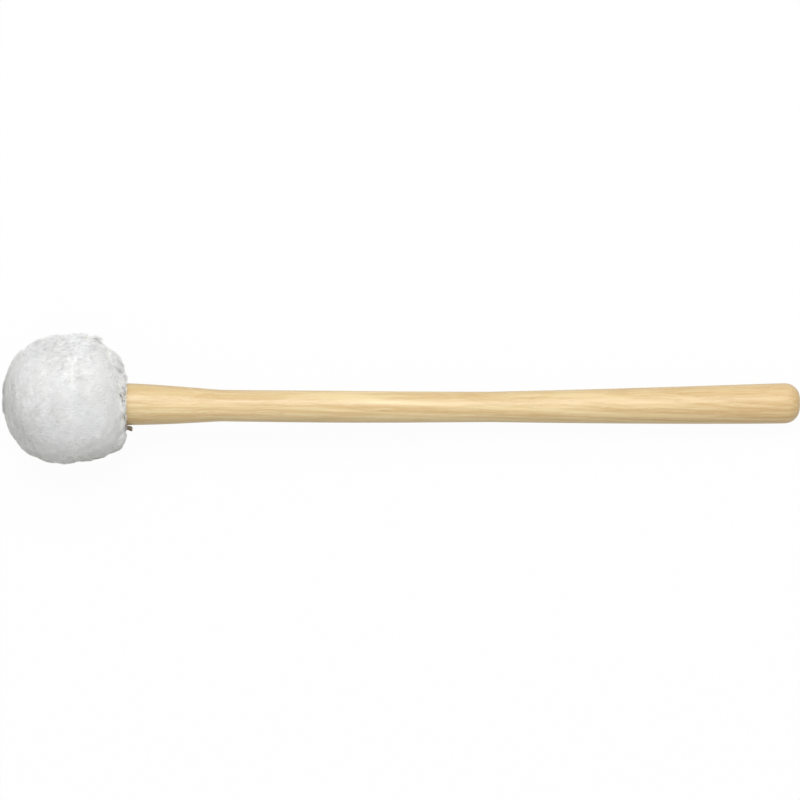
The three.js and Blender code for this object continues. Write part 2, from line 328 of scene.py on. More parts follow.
class Graph:
    """A node tree that is built node by node."""

    def __init__(self, tree: NodeTree) -> None:
        """Keeps the tree that nodes are added to."""
        self.tree = tree

    def feed(self, node: Node, inputs: dict[str | int, Any]) -> None:
        """Sets or links the sockets of a node.

        Args:
            node: The node.
            inputs: A value or a socket for each input, by name or number.
        """
        for key, value in inputs.items():
            if isinstance(value, NodeSocket):
                self.tree.links.new(value, node.inputs[key])
            else:
                node.inputs[key].default_value = value

    def add(self, kind: str, inputs: dict[str | int, Any] | None = None, **settings: Any) -> Node:
        """Adds a node, with its settings and what feeds its sockets.

        Args:
            kind: The node's type, without the word Shader in front.
            inputs: A value or a socket for each input, by name or number.
            **settings: The node's own properties.

        Returns:
            The new node.
        """
        node = self.tree.nodes.new(kind if kind == "NodeGroupOutput" else "Shader" + kind)
        for key, value in settings.items():
            setattr(node, key, value)
        self.feed(node, inputs or {})
        return node

    def math(self, operation: str, first: Any, second: Any = 0.0, clamp: bool = False) -> NodeSocket:
        """Adds a sum of two values and gives its result."""
        return self.add("NodeMath", {0: first, 1: second}, operation=operation, use_clamp=clamp).outputs[0]

    def scaled(self, value: Any, span: float, start: float) -> NodeSocket:
        """Multiplies a value by a span and adds a start."""
        return self.math("ADD", self.math("MULTIPLY", value, span), start)

    def hypot(self, first: Any, second: Any) -> NodeSocket:
        """The distance that two distances at right angles make."""
        squares = [self.math("MULTIPLY", side, side) for side in (first, second)]
        return self.math("SQRT", self.math("ADD", *squares))

    def mix(self, mask: Any, first: Any, second: Any, share: float = 1.0, blend: str = "MIX") -> NodeSocket:
        """Mixes the second colour into the first.

        Args:
            mask: Where the second colour shows, from 0 to 1.
            first: The colour where the mask is 0.
            second: The colour where the mask is 1.
            share: How much of the second colour shows at most.
            blend: How the two are blended.

        Returns:
            The mixed colour.
        """
        factor = mask if share == 1.0 else self.math("MULTIPLY", mask, share)
        node = self.add("NodeMix", {0: factor, 6: first, 7: second}, data_type="RGBA", blend_type=blend)
        return node.outputs[2]

    def ramp(self, value: Any, low: float, high: float) -> NodeSocket:
        """Spreads the values from low to high smoothly over 0 to 1."""
        inputs = {"Value": value, "From Min": low, "From Max": high}
        return self.add("NodeMapRange", inputs, interpolation_type="SMOOTHSTEP").outputs[0]

    def noise(self, place: Any, scale: float, detail: float = 2.0, roughness: float = 0.5) -> NodeSocket:
        """Adds noise at a scale in features to the metre and gives its value."""
        inputs = {"Vector": place, "Scale": scale, "Detail": detail, "Roughness": roughness}
        return self.add("NodeTexNoise", inputs).outputs["Fac"]

    def bands(self, distance: Any, scale: float, detail: float) -> NodeSocket:
        """Adds noise that changes with one distance alone and gives its value."""
        inputs = {"W": distance, "Scale": scale, "Detail": detail}
        return self.add("NodeTexNoise", inputs, noise_dimensions="1D").outputs["Fac"]

    def swayed(self, place: Any, noise: dict[str, Any], reach: Sequence[float]) -> NodeSocket:
        """Shifts a place by noise, so that a pattern read there wavers.

        Args:
            place: The place.
            noise: What feeds the noise.
            reach: The most that it shifts along each axis.

        Returns:
            The shifted place.
        """
        chance = self.add("NodeTexNoise", noise).outputs["Color"]
        shift = self.add("NodeVectorMath", {0: chance, 1: reach}, operation="MULTIPLY").outputs[0]
        return self.add("NodeVectorMath", {0: place, 1: shift}, operation="ADD").outputs[0]

    def stretched(self, place: Any, scale: Sequence[float]) -> NodeSocket:
        """Scales a place unevenly, so that a pattern read there is drawn out."""
        return self.add("NodeMapping", {"Vector": place, "Scale": scale}).outputs[0]

    def split(self, place: Any) -> Sequence[NodeSocket]:
        """Splits a place into its three parts."""
        return self.add("NodeSeparateXYZ", {0: place}).outputs

    def here(self) -> NodeSocket:
        """Gives the place on the object, in metres."""
        return self.add("NodeTexCoord").outputs["Object"]

    def along_handle(self, lie: Lie) -> NodeSocket:
        """Gives the place in the handle's own directions, with Z along it from the butt."""
        inputs = {"Vector": self.here(), "Location": lie.butt, "Rotation": lie.matrix.to_euler()}
        return self.add("NodeMapping", inputs, vector_type="TEXTURE").outputs[0]

    def marked(self, name: str) -> NodeSocket:
        """Reads the number that the piece's points carry under a name."""
        return self.add("NodeAttribute", attribute_name=name).outputs["Fac"]

    def mottle(self, place: Any, patch: float, fibre: float) -> tuple[NodeSocket, NodeSocket]:
        """Places the fibre mottle, with patches and fibres to the metre, and gives its tone and height."""
        inputs = {"Vector": place, "Patch": patch, "Fibre": fibre}
        outputs = self.add("NodeGroup", inputs, node_tree=FibreMottle.tree()).outputs
        return outputs["Tone"], outputs["Height"]

    def bump(self, height: Any, strength: float, distance: float) -> NodeSocket:
        """Turns a height into a normal."""
        inputs = {"Height": height, "Strength": strength, "Distance": distance}
        return self.add("NodeBump", inputs).outputs[0]


class FibreMottle:
    """A node group of soft uneven tone and fine tangled relief, for felt, fleece, cloth and leather."""

    name = "fibre_mottle"
    sockets = {
        "INPUT": {"Vector": "Vector", "Patch": "Float", "Fibre": "Float"},
        "OUTPUT": {"Tone": "Float", "Height": "Float"},
    }
    tangle = (6 * MM, 6 * MM, 6 * MM)
    fibre_stretch = (0.35, 1.0, 1.0)

    @classmethod
    def tree(cls) -> NodeTree:
        """Gives the group's node tree, and builds it the first time.

        Returns:
            The node tree of the group.
        """
        found = bpy.data.node_groups.get(cls.name)
        if found:
            return found
        tree = bpy.data.node_groups.new(cls.name, "ShaderNodeTree")
        for way, sockets in cls.sockets.items():
            for name, kind in sockets.items():
                tree.interface.new_socket(name, in_out=way, socket_type="NodeSocket" + kind)
        cls.build(Graph(tree), tree.nodes.new("NodeGroupInput").outputs)
        return tree

    @classmethod
    def build(cls, graph: Graph, given: Any) -> None:
        """Makes broad patches and twisted fine noise, and feeds them to the group's outputs.

        Args:
            graph: The group's tree.
            given: The group's inputs.
        """
        place, patch = given["Vector"], given["Patch"]
        tone = graph.ramp(graph.noise(place, patch, 3.0), 0.3, 0.7)
        there = graph.swayed(place, {"Vector": place, "Scale": patch, "Detail": 1.0}, cls.tangle)
        fibre = graph.noise(graph.stretched(there, cls.fibre_stretch), given["Fibre"], 4.0, 0.65)
        graph.add("NodeGroupOutput", {"Tone": tone, "Height": fibre})


@dataclass(frozen=True)
class Finish:
    """A finish: the name of its material, and what feeds its shader."""

    name: str

    def material(self) -> Material:
        """Gives the frame's own material of the finish's name where there is one, or else builds it.

        Returns:
            The material.
        """
        found = bpy.data.materials.get(self.name)
        if found:
            return found
        material = bpy.data.materials.new(self.name)
        material.use_nodes = True
        graph = Graph(material.node_tree)
        graph.feed(material.node_tree.nodes["Principled BSDF"], self.sockets(graph))
        return material

    def sockets(self, graph: Graph) -> dict[str, Any]:
        """Adds the finish's nodes and gives what feeds each socket of the shader."""
        raise NotImplementedError


@dataclass(frozen=True)
class Hickory(Finish):
    """Pale ring-porous wood with long streaks, under a satin lacquer."""

    lie: Lie
    pith: tuple[float, float] = (-46 * MM, 38 * MM)
    pith_drift: tuple[float, float] = (0.034, -0.022)
    ring_pitch: float = 2.3 * MM
    waver: float = 2.4 * MM
    waver_scale: float = 60.0
    waver_stretch: tuple[float, float, float] = (0.8, 0.8, 0.22)
    sway: tuple[float, float, float] = (3.5 * MM, 3.5 * MM, 0)
    sway_scale: float = 42.0
    sway_stretch: tuple[float, float, float] = (0.3, 0.3, 1.0)
    streak_scale: float = 330.0
    streak_stretch: tuple[float, float, float] = (1.0, 1.0, 0.045)
    grain_scale: float = 1500.0
    grain_stretch: tuple[float, float, float] = (1.0, 1.0, 0.02)
    pore_scale: float = 5200.0
    pore_stretch: tuple[float, float, float] = (1.0, 1.0, 0.03)
    cream: Colour = srgb(219, 196, 150)
    tan: Colour = srgb(199, 170, 120)
    pale: Colour = srgb(230, 213, 172)
    pore: Colour = srgb(176, 138, 90)
    butt_end_darkening: Colour = (0.95, 0.9, 0.85, 1.0)
    grip_end: float = 130 * MM

    def sockets(self, graph: Graph) -> dict[str, Any]:
        """Cuts growth rings, streaks and pores through the solid.

        Args:
            graph: The material's tree.

        Returns:
            What feeds each socket of the shader.
        """
        place = graph.along_handle(self.lie)
        x, y, z = graph.split(place)
        slow = graph.noise(graph.stretched(place, self.waver_stretch), self.waver_scale)
        wavering = graph.math("MULTIPLY", graph.math("SUBTRACT", slow, 0.5), self.waver)
        from_pith = [
            graph.math("SUBTRACT", side, graph.scaled(z, drift, offset))
            for side, drift, offset in zip((x, y), self.pith_drift, self.pith)
        ]
        rings = graph.math("DIVIDE", graph.math("ADD", graph.hypot(*from_pith), wavering), self.ring_pitch)
        tone = graph.bands(rings, 1.1, 1.0)
        porous = graph.ramp(graph.math("PINGPONG", rings, 1.0), 0.78, 0.3)
        slant = {"Vector": graph.stretched(place, self.sway_stretch), "Scale": self.sway_scale}
        there = graph.swayed(place, slant, self.sway)
        streak = graph.noise(graph.stretched(there, self.streak_stretch), self.streak_scale, 3.0, 0.6)
        grain = graph.noise(graph.stretched(there, self.grain_stretch), self.grain_scale, 3.0, 0.65)
        pores = graph.noise(graph.stretched(place, self.pore_stretch), self.pore_scale, 1.0, 0.4)
        figure = graph.math("ADD", graph.math("MULTIPLY", tone, 0.45), graph.math("MULTIPLY", streak, 0.55))
        body = graph.mix(graph.ramp(figure, 0.36, 0.66), self.tan, self.cream)
        streaked = graph.mix(graph.ramp(grain, 0.42, 0.75), body, self.pale, 0.5)
        dark = graph.math("MULTIPLY", graph.ramp(grain, 0.5, 0.28), graph.math("ADD", porous, 0.35))
        shaded = graph.mix(dark, streaked, self.tan, 0.42)
        pitted = graph.math("MULTIPLY", graph.ramp(pores, 0.6, 0.72), porous)
        grained = graph.mix(pitted, shaded, self.pore, 0.55)
        # Darker towards the butt, fading out by grip_end.
        near_butt = graph.ramp(z, self.grip_end, 0.0)
        return {
            "Base Color": graph.mix(near_butt, grained, self.butt_end_darkening, blend="MULTIPLY"),
            "Roughness": graph.scaled(grain, 0.12, 0.3),
            "Specular IOR Level": 0.5,
            "Normal": graph.bump(graph.math("SUBTRACT", grain, pitted), 0.12, 0.1 * MM),
        }


@dataclass(frozen=True)
class Fleece(Finish):
    """White pile: very matt, a little warmer and darker towards its root, which is painted shade of the
    depth in the pile.
    """

    tip: Colour = srgb(250, 251, 251)
    hollow: Colour = srgb(241, 241, 239)
    # The root colour is painted shade: darker and warmer deep in the pile and on the coat between the
    # fibres.
    root: Colour = srgb(217, 215, 209)
    patch: float = 70.0
    fibre: float = 1500.0

    def sockets(self, graph: Graph) -> dict[str, Any]:
        """Mixes the colour by height in the pile, darker towards the root as painted shade, with faint broad
        patches.

        Args:
            graph: The material's tree.

        Returns:
            What feeds each socket of the shader.
        """
        tone, _ = graph.mottle(graph.here(), self.patch, self.fibre)
        toned = graph.mix(tone, self.tip, self.hollow, 0.6)
        return {
            # Painted shade: where the mark is low, deep in the pile, the colour turns to the root colour.
            "Base Color": graph.mix(graph.ramp(graph.marked("tip"), 0.75, 0.0), toned, self.root),
            "Roughness": 0.95,
            "Specular IOR Level": 0.08,
            "Sheen Weight": 0.1,
            "Sheen Roughness": 0.5,
        }


@dataclass(frozen=True)
class Felt(Finish):
    """Pressed or soft wool felt."""

    colour: Colour
    shade: Colour
    fibre: float = 1100.0
    patch: float = 160.0

    def sockets(self, graph: Graph) -> dict[str, Any]:
        """Gives the felt uneven tone and a fibrous surface.

        Args:
            graph: The material's tree.

        Returns:
            What feeds each socket of the shader.
        """
        tone, height = graph.mottle(graph.here(), self.patch, self.fibre)
        toned = graph.mix(tone, self.colour, self.shade, 0.5)
        return {
            "Base Color": graph.mix(graph.ramp(height, 0.62, 0.35), toned, self.shade, 0.35),
            "Roughness": 0.96,
            "Specular IOR Level": 0.15,
            "Sheen Weight": 0.25,
            "Normal": graph.bump(height, 0.6, 0.4 * MM),
        }


@dataclass(frozen=True)
class KnitCloth(Finish):
    """The knitted back of the fleece: rows of small stitches with painted shade between them, and painted
    shade at the raw edge.
    """

    lie: Lie
    colour: Colour = srgb(196, 186, 168)
    # The raw colour is painted shade: it darkens the grooves between the stitches and the raw edge.
    raw: Colour = srgb(128, 110, 88)
    wale: float = 0.9 * MM
    course: float = 0.7 * MM
    round_radius: float = 11 * MM
    patch: float = 220.0
    fibre: float = 2600.0

    def sockets(self, graph: Graph) -> dict[str, Any]:
        """Draws the stitches round and along the neck, with painted shade between them, and paints shade on
        the raw edge.

        Args:
            graph: The material's tree.

        Returns:
            What feeds each socket of the shader.
        """
        place = graph.along_handle(self.lie)
        x, y, z = graph.split(place)
        turn = graph.math("MULTIPLY", graph.math("ARCTAN2", x, y), self.round_radius)
        stitch = graph.math("MULTIPLY", self.rib(graph, turn, self.wale), self.rib(graph, z, self.course))
        _, height = graph.mottle(place, self.patch, self.fibre)
        # Painted shade: the raw colour in the grooves between the ribs of the stitches.
        plain = graph.mix(0.6, graph.mix(stitch, self.raw, self.colour, 0.35), self.colour)
        relief = graph.math("ADD", stitch, graph.math("MULTIPLY", height, 0.6))
        return {
            # Painted shade: the raw colour along the loose raw edge.
            "Base Color": graph.mix(graph.marked("edge"), plain, self.raw),
            "Roughness": 0.92,
            "Specular IOR Level": 0.2,
            "Sheen Weight": 0.15,
            "Normal": graph.bump(relief, 0.5, 0.25 * MM),
        }

    @staticmethod
    def rib(graph: Graph, distance: Any, pitch: float) -> NodeSocket:
        """A rounded rib at every pitch, from 0 between ribs to 1 on them."""
        phase = graph.math("MULTIPLY", distance, math.pi / pitch)
        return graph.math("ABSOLUTE", graph.math("SINE", phase))


@dataclass(frozen=True)
class WaxedThread(Finish):
    """Waxed cotton thread, darker in the grooves between its plies."""

    colour: Colour = srgb(232, 226, 208)
    shadow: Colour = srgb(190, 180, 156)
    patch: float = 400.0
    fibre: float = 5200.0

    def sockets(self, graph: Graph) -> dict[str, Any]:
        """Darkens the grooves and adds fine fibre.

        Args:
            graph: The material's tree.

        Returns:
            What feeds each socket of the shader.
        """
        tone, height = graph.mottle(graph.here(), self.patch, self.fibre)
        toned = graph.mix(tone, self.colour, self.shadow, 0.4)
        return {
            "Base Color": graph.mix(graph.marked("groove"), toned, self.shadow),
            "Roughness": graph.scaled(height, 0.2, 0.45),
            "Sheen Weight": 0.1,
            "Normal": graph.bump(height, 0.35, 0.08 * MM),
        }


@dataclass(frozen=True)
class Leather(Finish):
    """Vegetable-tanned washer leather with a pebbled grain, with painted shade in its creases."""

    colour: Colour = srgb(120, 78, 50)
    dark: Colour = srgb(74, 46, 30)
    pebbles: float = 900.0
    patch: float = 240.0
    fibre: float = 1600.0

    def sockets(self, graph: Graph) -> dict[str, Any]:
        """Draws the pebbled grain.

        Args:
            graph: The material's tree.

        Returns:
            What feeds each socket of the shader.
        """
        place = graph.here()
        cells = graph.add("NodeTexVoronoi", {"Vector": place, "Scale": self.pebbles}).outputs["Distance"]
        crease = graph.ramp(cells, 0.25, 0.6)
        tone, _ = graph.mottle(place, self.patch, self.fibre)
        toned = graph.mix(tone, self.colour, self.dark, 0.6)
        return {
            # Painted shade: the dark colour in the creases between the pebbles.
            "Base Color": graph.mix(crease, toned, self.dark, 0.5),
            "Roughness": graph.scaled(crease, 0.25, 0.5),
            "Normal": graph.bump(cells, 0.4, 0.15 * MM),
        }


@dataclass(frozen=True)
class TurnedSteel(Finish):
    """Zinc-plated steel with fine turning lines about the mallet's axis."""

    lie: Lie
    colour: Colour = srgb(190, 192, 194)
    dull: Colour = srgb(150, 152, 154)
    line_scale: float = 9000.0
    line_slope: float = 0.7

    def sockets(self, graph: Graph) -> dict[str, Any]:
        """Draws the lines by the distance from the axis.

        Args:
            graph: The material's tree.

        Returns:
            What feeds each socket of the shader.
        """
        place = graph.along_handle(self.lie)
        x, y, z = graph.split(place)
        radius = graph.math("ADD", graph.hypot(x, y), graph.math("MULTIPLY", z, self.line_slope))
        lines = graph.bands(radius, self.line_scale, 2.0)
        stain = graph.ramp(graph.noise(place, 260.0, 3.0), 0.4, 0.7)
        return {
            "Base Color": graph.mix(stain, self.colour, self.dull),
            "Metallic": 1.0,
            "Roughness": graph.scaled(lines, 0.25, 0.22),
            "Normal": graph.bump(lines, 0.2, 0.05 * MM),
        }


@dataclass
class Handle:
    """The turned handle: shaft, shoulder and tenon, with the pilot hole for the screw."""

    lie: Lie
    grip_radius: float = 9.3 * MM
    butt_round: float = 7 * MM
    butt_flat_radius: float = 3 * MM
    grip_length: float = 143 * MM
    waist_radius: float = 7 * MM
    back_length: float = 76 * MM
    swell_radius: float = 7.35 * MM
    front_length: float = 48 * MM
    flare_foot_radius: float = 7.25 * MM
    flare_length: float = 42 * MM
    neck_radius: float = 9.55 * MM
    neck_length: float = 12.2 * MM
    neck_rise: float = 0.25 * MM
    tenon_radius: float = 6 * MM
    tenon_length: float = 34.2 * MM
    tenon_chamfer: float = 0.8 * MM
    edge_round: float = 0.5 * MM
    pilot_radius: float = 2.3 * MM
    pilot_length: float = 22.6 * MM
    bow: float = 1.55 * MM
    grip_lead: tuple[float, ...] = (0, 0.13, 0.89, 0.89)
    back_lead: tuple[float, ...] = (0.1, 0.2, 1, 0.72)
    front_lead: tuple[float, ...] = (0, 0.3, 1, 0.75)
    flare_lead: tuple[float, ...] = (0.087, 0.12, 0.85, 0.6)
    sharp_edge: float = math.radians(40)
    steps_round: int = 96
    steps_stretch: int = 26
    steps_butt: int = 14

    @property
    def neck_at(self) -> float:
        """The place where the flare ends and the neck starts."""
        return self.grip_length + self.back_length + self.front_length + self.flare_length

    @property
    def shoulder_at(self) -> float:
        """The place of the shoulder that the head seats on."""
        return self.neck_at + self.neck_length

    def stretch(self, start: Sequence[float], end: Sequence[float], lead: Sequence[float]) -> Outline:
        """Draws one smooth stretch of the outline.

        Args:
            start: Radius and place where the stretch starts.
            end: Radius and place where it ends.
            lead: Its two lead points, as shares of its rise and of its length.

        Returns:
            The points after the start, up to the end.
        """
        rise, run = end[0] - start[0], end[1] - start[1]
        first = Vector((start[0] + rise * lead[0], start[1] + run * lead[1]))
        second = Vector((start[0] + rise * lead[2], start[1] + run * lead[3]))
        points = interpolate_bezier(Vector(start), first, second, Vector(end), self.steps_stretch + 1)
        return [(point.x, point.y) for point in points[1:]]

    def shaft(self) -> Outline:
        """Draws the outline from the butt's flat to the shoulder.

        Returns:
            Radius and place of each point.
        """
        points = [(0.0, 0.0)]
        for step in range(self.steps_butt + 1):
            angle = math.pi / 2 * step / self.steps_butt
            radius = self.butt_flat_radius + (self.grip_radius - self.butt_flat_radius) * math.sin(angle)
            points.append((radius, self.butt_round * (1 - math.cos(angle))))
        swell_at = self.grip_length + self.back_length
        for radius, place, lead in (
            (self.waist_radius, self.grip_length, self.grip_lead),
            (self.swell_radius, swell_at, self.back_lead),
            (self.flare_foot_radius, swell_at + self.front_length, self.front_lead),
            (self.neck_radius, self.neck_at, self.flare_lead),
        ):
            points += self.stretch(points[-1], (radius, place), lead)
        shoulder_radius = self.neck_radius + self.neck_rise
        points.append((shoulder_radius, self.shoulder_at - self.edge_round))
        points.append((shoulder_radius - self.edge_round, self.shoulder_at))
        return points

    def build(self, material: Material) -> Object:
        """Turns the handle, bows it to one side and dresses it.

        Args:
            material: The wood.

        Returns:
            The finished handle.
        """
        end = self.shoulder_at + self.tenon_length
        outline = self.shaft() + [
            (self.tenon_radius, self.shoulder_at),
            (self.tenon_radius, end - self.tenon_chamfer),
            (self.tenon_radius - self.tenon_chamfer, end),
            (self.pilot_radius, end),
            (self.pilot_radius, end - self.pilot_length),
            (0.0, end - self.pilot_length - self.pilot_radius),
        ]
        piece = Sculpt.turned("turned_handle", outline, self.steps_round, self.lie)
        bpy.ops.object.shade_smooth_by_angle(angle=self.sharp_edge)
        points = Sculpt.points(piece)
        share = np.clip(self.lie.cylindrical(points)[2] / (self.shoulder_at - self.neck_length), 0, 1)
        Sculpt.move(piece, points - np.outer(4 * self.bow * share * (1 - share), np.array(self.lie.side)))
        return dress(piece, material, "handle")


@dataclass
class Head:
    """The sizes that the layers of the head share."""

    at: float = 339.1745 * MM
    wrap_inner: float = 18.8 * MM
    wrap_outer: float = 20.8 * MM
    wrap_mouth: float = 10.4 * MM
    cloth_inner: float = 21.1 * MM
    cloth_outer: float = 22.1 * MM
    hem_inner: float = 10.1 * MM
    hem_outer: float = 11.1 * MM
    pile_inner: float = 22.4 * MM
    pile_radius: float = 28.5 * MM
    pile_front: float = 27.15 * MM
    pile_rear: float = 27.4 * MM
    pile_mouth: float = 13.3 * MM
    pile_lean: float = 2.6 * MM
    rear_fullness: float = 2.75

    @property
    def rear_at(self) -> float:
        """The place of the back of the pile."""
        return self.at - self.pile_rear

    def ball(self, radius: float, start: float, end: float, steps: int) -> Outline:
        """Draws an arc of the ball between two angles from its front.

        Args:
            radius: The ball's radius.
            start: The angle where the arc starts, 0 at the front.
            end: The angle where it ends, pi at the back.
            steps: Points after the first.

        Returns:
            Radius and place of each point.
        """
        angles = [start + (end - start) * step / steps for step in range(steps + 1)]
        return [(radius * math.sin(angle), self.at + radius * math.cos(angle)) for angle in angles]

    def mouth_angle(self, radius: float, mouth: float) -> float:
        """The angle from the front at which a ball meets its mouth at the back."""
        return math.pi - math.asin(mouth / radius)


@dataclass
class FeltWrap:
    """The soft felt layer over the core, with the butted seams of its gores."""

    lie: Lie
    head: Head
    steps_round: int = 96
    steps_along: int = 40
    gores: int = 4
    seam_width: float = 0.9 * MM
    seam_depth: float = 0.35 * MM

    def build(self, material: Material) -> Object:
        """Turns the layer, presses in its seams and dresses it.

        Args:
            material: The felt.

        Returns:
            The finished layer.
        """
        head = self.head
        inner_end = head.mouth_angle(head.wrap_inner, head.wrap_mouth)
        outer_end = head.mouth_angle(head.wrap_outer, head.wrap_mouth)
        outline = head.ball(head.wrap_inner, 0, inner_end, self.steps_along)
        outline += head.ball(head.wrap_outer, outer_end, 0, self.steps_along)
        piece = Sculpt.turned("felt_layer", outline, self.steps_round, self.lie)
        points = Sculpt.points(piece)
        radius, turn, _ = self.lie.cylindrical(points)
        out = points - self.lie.on_axis(head.at)
        reach = np.linalg.norm(out, axis=1)
        gap = np.abs(np.sin(turn * self.gores / 2)) * radius * 2 / self.gores
        outside = reach > (head.wrap_inner + head.wrap_outer) / 2
        press = self.seam_depth * bell(gap, self.seam_width) * outside
        Sculpt.move(piece, points - out * (press / reach)[:, None])
        return dress(piece, material, "felt_wrap")


@dataclass
class GroundCloth:
    """The knitted back of the cover: a bag over the felt, pleated at the neck, with a ragged raw edge."""

    lie: Lie
    head: Head
    hem_at: float = 311.3 * MM
    frill_reach: float = 3.3 * MM
    frill_turn: float = math.radians(-93)
    frill_width: float = math.radians(24)
    frill_flare: float = 0.5 * MM
    frill_foot_share: float = 1.4
    binding_at: float = 311.66 * MM
    binding_end_at: float = 317.66 * MM
    pleats: int = 12
    pleat_depth: float = 0.9 * MM
    bound_pleat_depth: float = 0.2 * MM
    ragged: float = 0.65 * MM
    rag_share: float = 0.4
    rags: tuple[int, ...] = (5, 11, 23, 41, 67)
    rag_shift: float = 1.7
    steps_round: int = 288
    steps_ball: int = 30
    steps_hem: int = 14

    def edge_place(self, turn: np.ndarray) -> np.ndarray:
        """Works out where the raw edge ends.

        Args:
            turn: Turns from the top.

        Returns:
            The place along the handle at each turn.
        """
        frill = bell(turn_from(self.frill_turn, turn), self.frill_width)
        rags = sum(np.sin(k * turn + self.rag_shift * k) / math.sqrt(k) for k in self.rags)
        return self.hem_at - self.frill_reach * frill + self.ragged * self.rag_share * rags

    def build(self, material: Material) -> Object:
        """Turns the bag, pleats its neck and frays its edge.

        Args:
            material: The knitted cloth.

        Returns:
            The finished cloth.
        """
        head, axis = self.head, np.array(self.lie.along)
        neck_at = head.at - math.sqrt(head.cloth_outer**2 - head.hem_outer**2)
        hem = [(self.hem_at + (neck_at - self.hem_at) * k / self.steps_hem) for k in range(self.steps_hem)]
        inner_end = head.mouth_angle(head.cloth_inner, head.hem_inner)
        outer_end = head.mouth_angle(head.cloth_outer, head.hem_outer)
        outline = head.ball(head.cloth_inner, 0, inner_end, self.steps_ball)
        outline += [(head.hem_inner, place) for place in reversed(hem)]
        outline += [(head.hem_outer, place) for place in hem]
        outline += head.ball(head.cloth_outer, outer_end, 0, self.steps_ball)
        piece = Sculpt.turned("knit_cover", outline, self.steps_round, self.lie)
        points = Sculpt.points(piece)
        radius, turn, along = self.lie.cylindrical(points)
        loose = 1 - smooth(along, self.hem_at, self.binding_at)
        drawn = (1 - smooth(along, self.binding_end_at, neck_at)) * (1 - loose)
        wave = (1 + np.cos(self.pleats * turn)) / 2
        frill = bell(turn_from(self.frill_turn, turn), self.frill_foot_share * self.frill_width)
        spread = loose * (self.pleat_depth * wave + self.frill_flare * frill)
        spread += drawn * self.bound_pleat_depth * wave
        drop = (self.edge_place(turn) - self.hem_at) * loose
        out = points - np.array(self.lie.butt) - np.outer(along, axis)
        Sculpt.move(piece, points + out * (spread / np.maximum(radius, MM))[:, None] + np.outer(drop, axis))
        # The edge mark tells the cloth's material where to paint shade on the loose raw edge.
        Sculpt.mark(piece, "edge", smooth(loose, 0.5, 1.0))
        return dress(piece, material, "cover_cloth")


